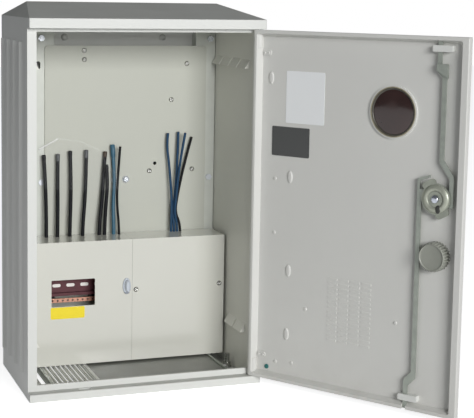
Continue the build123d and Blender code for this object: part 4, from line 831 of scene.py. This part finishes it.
def soft_boss(name, width, height, rise, rings=7, around=36, edge=0.275, sunk=0.0002):
    """A low boss with an oval outline and a rounded edge, facing along Z, with its length along X."""
    form = bmesh.new()
    layers = []
    for step in range(rings + 1):
        angle = pi / 2 * step / rings
        inset = edge * min(width, height) * (1.0 - cos(angle))
        turns = [2 * pi * i / around for i in range(around)]
        layers.append([form.verts.new(((height / 2 - inset) * cos(turn), (width / 2 - inset) * sin(turn),
                                       rise * sin(angle) - sunk)) for turn in turns])
    for low, high in zip(layers, layers[1:]):
        bridge(form, low, high)
    form.faces.new(layers[-1])
    form.faces.new(list(reversed(layers[0])))
    return keep_form(name, form)


def ring(name, profile, stand, segments=96):
    """A closed ring turned about its own Z: the profile ends where it began."""
    form = bmesh.new()
    turns = [2 * pi * i / segments for i in range(segments)]
    loops = [[form.verts.new((radius * cos(turn), radius * sin(turn), height)) for turn in turns]
             for radius, height in profile]
    for low, high in zip(loops, loops[1:] + loops[:1]):
        bridge(form, low, high)
    return keep_form(name, form, stand)


print("door corner", [round(v, 4) for v in door_corner])

# %% [markdown]
# The places of the bosses were read on the open door. All round ones come from one form and all
# long ones from another, set on points by the tree.

# %% Bosses on the door
round_spots = ((0.0205, 0.566), (0.0434, 0.358), (0.0437, 0.266), (0.109, 0.144), (0.2785, 0.148),
               (0.0515, 0.044), (0.084, 0.047))
long_spots = ((0.032, 0.526), (0.073, 0.363), (0.0736, 0.204), (0.0725, 0.095))
rounds = repeat_form("round_bosses", soft_boss("round_form", 0.0065, 0.0065, 0.0016),
                     [on_door(u, z) for u, z in round_spots], door_v, "grp_door")
dress(rounds, "grp_door", "door")
longs = repeat_form("long_bosses", soft_boss("long_form", 0.010, 0.021, 0.0022),
                    [on_door(u, z) for u, z in long_spots], door_v, "grp_door", turn=upright)
dress(longs, "grp_door", "door")
print("bosses", len(round_spots) + len(long_spots))

# %% [markdown]
# The cap over the lock barrel is turned from a profile. Its side has fine finger ribs and its face
# has a small raised lip, which gives the bright line round it.

# %% Ribbed cap over the lock barrel
finger_ribs, rib_share, lock_u = 28, 0.05, 0.3465
cap = lathe("finger_cap", [(0.0, 0.0170), (0.0110, 0.0170), (0.0110, 0.0),
                           (0.0222, 0.0, finger_ribs, rib_share), (0.0220, 0.0165, finger_ribs, rib_share),
                           (0.0216, 0.0182, finger_ribs, 0.4 * rib_share), (0.0212, 0.0193),
                           (0.0208, 0.0199), (0.0202, 0.0200), (0.0198, 0.0197), (0.0191, 0.0184),
                           (0.0185, 0.0182), (0.0, 0.0182)],
            10 * finger_ribs, stand_along(on_door(lock_u, 0.2655), door_v))
dress(cap, "cap_plastic", "door", "ribbed_cap")
print("cap", len(cap.data.polygons), "faces,", finger_ribs, "ribs")

# %% [markdown]
# A pressed dish stands on the cam plate round its bolt. The bolt's head is a bright dome. Below it, a low
# dark boss is painted shade for the slot in the plate; no slot is cut.

# %% Cam plate's dish and the domed bolt
cam_top, hub_top = 0.0145, 0.016
cam_stand = stand_along(on_door(lock_u, 0.356, 0.0), door_v)
dish = ring("cam_dish", [(0.0124, cam_top), (0.0124, cam_top + 0.0012), (0.0135, cam_top + 0.0026),
                         (0.0165, cam_top + 0.0034), (0.0195, cam_top + 0.0026),
                         (0.0222, cam_top + 0.0006), (0.0226, cam_top)], cam_stand)
dress(dish, "cam_dish", "handle")
hexagon = (6, 0.04)
dome = lathe("cam_bolt_head", [(0.0, hub_top - 0.009), (0.0015, hub_top - 0.009), (0.0015, hub_top),
                               (0.0063, hub_top, *hexagon), (0.0063, hub_top + 0.0022, *hexagon),
                               (0.0057, hub_top + 0.0034), (0.0044, hub_top + 0.0041),
                               (0.0025, hub_top + 0.0044), (0.0, hub_top + 0.0045)], 60, cam_stand)
dress(dome, "bolt_blue", "handle", "cam_bolt")
# A dark boss, painted shade for the slot in the plate.
slot = repeat_form("cam_slot", soft_boss("slot_form", 0.0085, 0.0130, 0.0014),
                   [on_door(0.3520, 0.3405, 0.0170)], door_v, "painted_slot_shade", turn=upright)
dress(slot, "painted_slot_shade", "handle")
print("cam", [piece.name for piece in (dish, dome, slot)])

# %% [markdown]
# The sight glass is a low dark dome. A black gasket holds it, and an old bead of glue lies round
# the gasket.

# %% Sight glass and its gasket
glass_stand = stand_along(on_door(0.2633, 0.484), door_v)
lens = lathe("glass_lens", [(0.0, 0.0), (0.0385, 0.0), (0.0385, 0.0004), (0.0370, 0.0009),
                            (0.0320, 0.0017), (0.0250, 0.0023), (0.0160, 0.0027), (0.0080, 0.0029),
                            (0.0, 0.0030)], 96, glass_stand)
dress(lens, "smoked_glass", "door", "sight_glass")
gasket = ring("glass_gasket", [(0.0350, 0.0004), (0.0355, 0.0022), (0.0370, 0.0032), (0.0384, 0.0030),
                               (0.0384, 0.0004)], glass_stand)
dress(gasket, "gasket", "door")
bead = ring("glass_bead", [(0.0383, 0.0029), (0.0385, 0.0036), (0.0392, 0.0038), (0.0399, 0.0034),
                           (0.0401, 0.0029)], glass_stand)
dress(bead, "old_bead", "door")
print("glass", [piece.name for piece in (lens, gasket, bead)])

# %% [markdown]
# ## The sealing knob
#
# The left cover is held by a grey quarter-turn knob: an oval foot and a raised grip. A dark boss round the
# grip is painted shade for the gap, and a dark step below it is painted shade too.

# %% Sealing knob
knob_face, knob_middle = cover_face - 0.0005, 0.152
knob_forms = (("knob_foot", 0.0150, 0.0292, 0.0032, 0.0, "knob", ("sealing_knob",)),
              # The gap and the step carry painted shade.
              ("knob_gap", 0.0116, 0.0236, 0.0040, 0.0010, "knob_shadow", ()),
              ("knob_grip", 0.0090, 0.0212, 0.0094, 0.0008, "knob", ()),
              ("knob_step", 0.0094, 0.0020, 0.0045, -0.0116, "knob_shadow", ()))
for name, width, height, rise, lift, finish_name, stands_for in knob_forms:
    piece = repeat_form(name, soft_boss(name + "_form", width, height, rise),
                        [(0.0, knob_face, knob_middle + lift)], outwards, finish_name, turn=pi / 2)
    dress(piece, finish_name, "sealing_knob", *stands_for)
print("knob", [name for name, *_ in knob_forms])

# %% [markdown]
# ## Labels, painted light in the rail slots, and plugs
#
# The strip on the left cover is bare. Pale pieces in the slots of the breaker rail are painted light: they
# stand for the lit plate seen through the slots. Two low plugs close the upper holes of the back wall.

# %% Flat form with round corners
def flat_form(name, middle, across, up, width, height, thickness, corner, steps=6):
    """A thin sheet with round corners, standing on its back face."""
    outline = []
    for quarter in range(4):
        centre_x = (width / 2 - corner) * (1 if quarter in (0, 3) else -1)
        centre_z = (height / 2 - corner) * (1 if quarter in (0, 1) else -1)
        for step in range(steps + 1):
            angle = pi / 2 * (quarter + step / steps)
            outline.append((centre_x + corner * cos(angle), centre_z + corner * sin(angle)))
    middle, across, up = Vector(middle), Vector(across), Vector(up)
    out = across.cross(up)
    places = [middle + across * x + up * z + out * d for d in (0.0, thickness) for x, z in outline]
    count = len(outline)
    sides = [(i, (i + 1) % count, count + (i + 1) % count, count + i) for i in range(count)]
    mesh = bpy.data.meshes.new(name)
    mesh.from_pydata(places, [], [list(range(count))[::-1], list(range(count, 2 * count)), *sides])
    return new_object(name, mesh)


print("flat form ready")

# %% Painted light in the rail slots, and plugs
slot_pitch, slots, first_slot = 0.025, 5, -0.142
insert_form = flat_form("insert_form", (0, 0, 0), (1, 0, 0), (0, 1, 0),
                        width=0.0146, height=0.0058, thickness=0.0005, corner=0.0028)
slot_lights = repeat_form("slot_inserts", insert_form,
                      [(first_slot + slot_pitch * i, 0.0572, 0.1515) for i in range(slots)],
                      outwards, "painted_slot_light")
dress(slot_lights, "painted_slot_light", "cabinet")
plug_form = lathe("plug_form", [(0.0, -0.004), (0.0043, -0.004), (0.0043, 0.0), (0.0062, 0.0),
                                (0.0058, 0.0012), (0.0, 0.0016)])
plugs = repeat_form("spare_hole_plugs", plug_form, [(x, 0.1140, 0.583) for x in (-0.09, 0.09)],
                    outwards, "grp_grey")
dress(plugs, "grp_grey", "cabinet")
print("inserts and plugs", len(slot_lights.data.polygons) + len(plugs.data.polygons), "faces")

# %% Bare yellow label on the left cover
yellow = flat_form("yellow_label", (-0.1055, cover_face, 0.111), (1, 0, 0), (0, 0, 1),
                   width=0.060, height=0.0205, thickness=0.0004, corner=0.0025)
dress(yellow, "yellow_label", "cabinet")
print("label", [round(v, 4) for v in yellow.dimensions])

# %% [markdown]
# ## The clear film
#
# A loose piece of clear film hangs over the ends of the left cables. It is a thin sheet with a few shallow
# waves and an upper edge that lifts. Along that folded edge a painted highlight is strong over a short
# stretch, where the edge catches light, and faint elsewhere.

# %% Film
film_left, film_width, film_height = -0.145, 0.141, 0.094
film_run = ((-0.146, 0.0740), (-0.130, 0.0725), (-0.108, 0.0715), (-0.080, 0.0715), (-0.050, 0.0695),
            (-0.024, 0.0679), (-0.002, 0.0665))
film_top = ((-0.145, 0.391), (-0.112, 0.410), (-0.073, 0.405), (-0.037, 0.388), (-0.024, 0.362),
            (-0.004, 0.343))
film_bottom = ((-0.145, 0.322), (-0.060, 0.316), (-0.004, 0.316))
# The fold's painted highlight: its width, how faint it is outside the bright stretch, and where that stretch
# runs.
fold_highlight_width, faint_fold_highlight = 0.004, 0.14
bright_from, bright_to = -0.143, -0.112


def along(line, x):
    """A broken line's second number at x."""
    for (x0, z0), (x1, z1) in zip(line, line[1:]):
        if x <= x1:
            return z0 + (z1 - z0) * (x - x0) / (x1 - x0)
    return line[-1][1]


def make_film(columns=70, rows=60):
    """One layer of faces in shallow waves, with its upper edge lifted and marked for the fold's painted
    highlight.
    """
    film = bpy.data.meshes.new("film_sheet")
    places, faces, fold_highlights = [], [], []
    for i in range(columns + 1):
        x = film_left + film_width * i / columns
        low, high = along(film_bottom, x), along(film_top, x)
        for j in range(rows + 1):
            t = j / rows
            z = low + (high - low) * t
            wave = 0.0006 * sin(95.0 * x + 9.0 * t) + 0.0004 * sin(41.0 * z + 160.0 * x)
            lift = 0.0004 + 0.012 * max(0.0, t - 0.82) ** 1.5
            places.append((x, along(film_run, x) + wave - lift, z))
            border = max(0.0, 1.0 - (high - z) / fold_highlight_width)
            fold_highlights.append(border * (1.0 if bright_from < x < bright_to else faint_fold_highlight))
    for i in range(columns):
        for j in range(rows):
            corner = i * (rows + 1) + j
            faces.append((corner, corner + rows + 1, corner + rows + 2, corner + 1))
    film.from_pydata(places, [], faces)
    film.polygons.foreach_set("use_smooth", [True] * len(faces))
    film.attributes.new("fold_highlight", "FLOAT", "POINT").data.foreach_set("value", fold_highlights)
    return new_object("film_sheet", film)


film_piece = dress(make_film(), "clear_film", "cabinet", "cable_film")
print("film", len(film_piece.data.polygons), "faces")
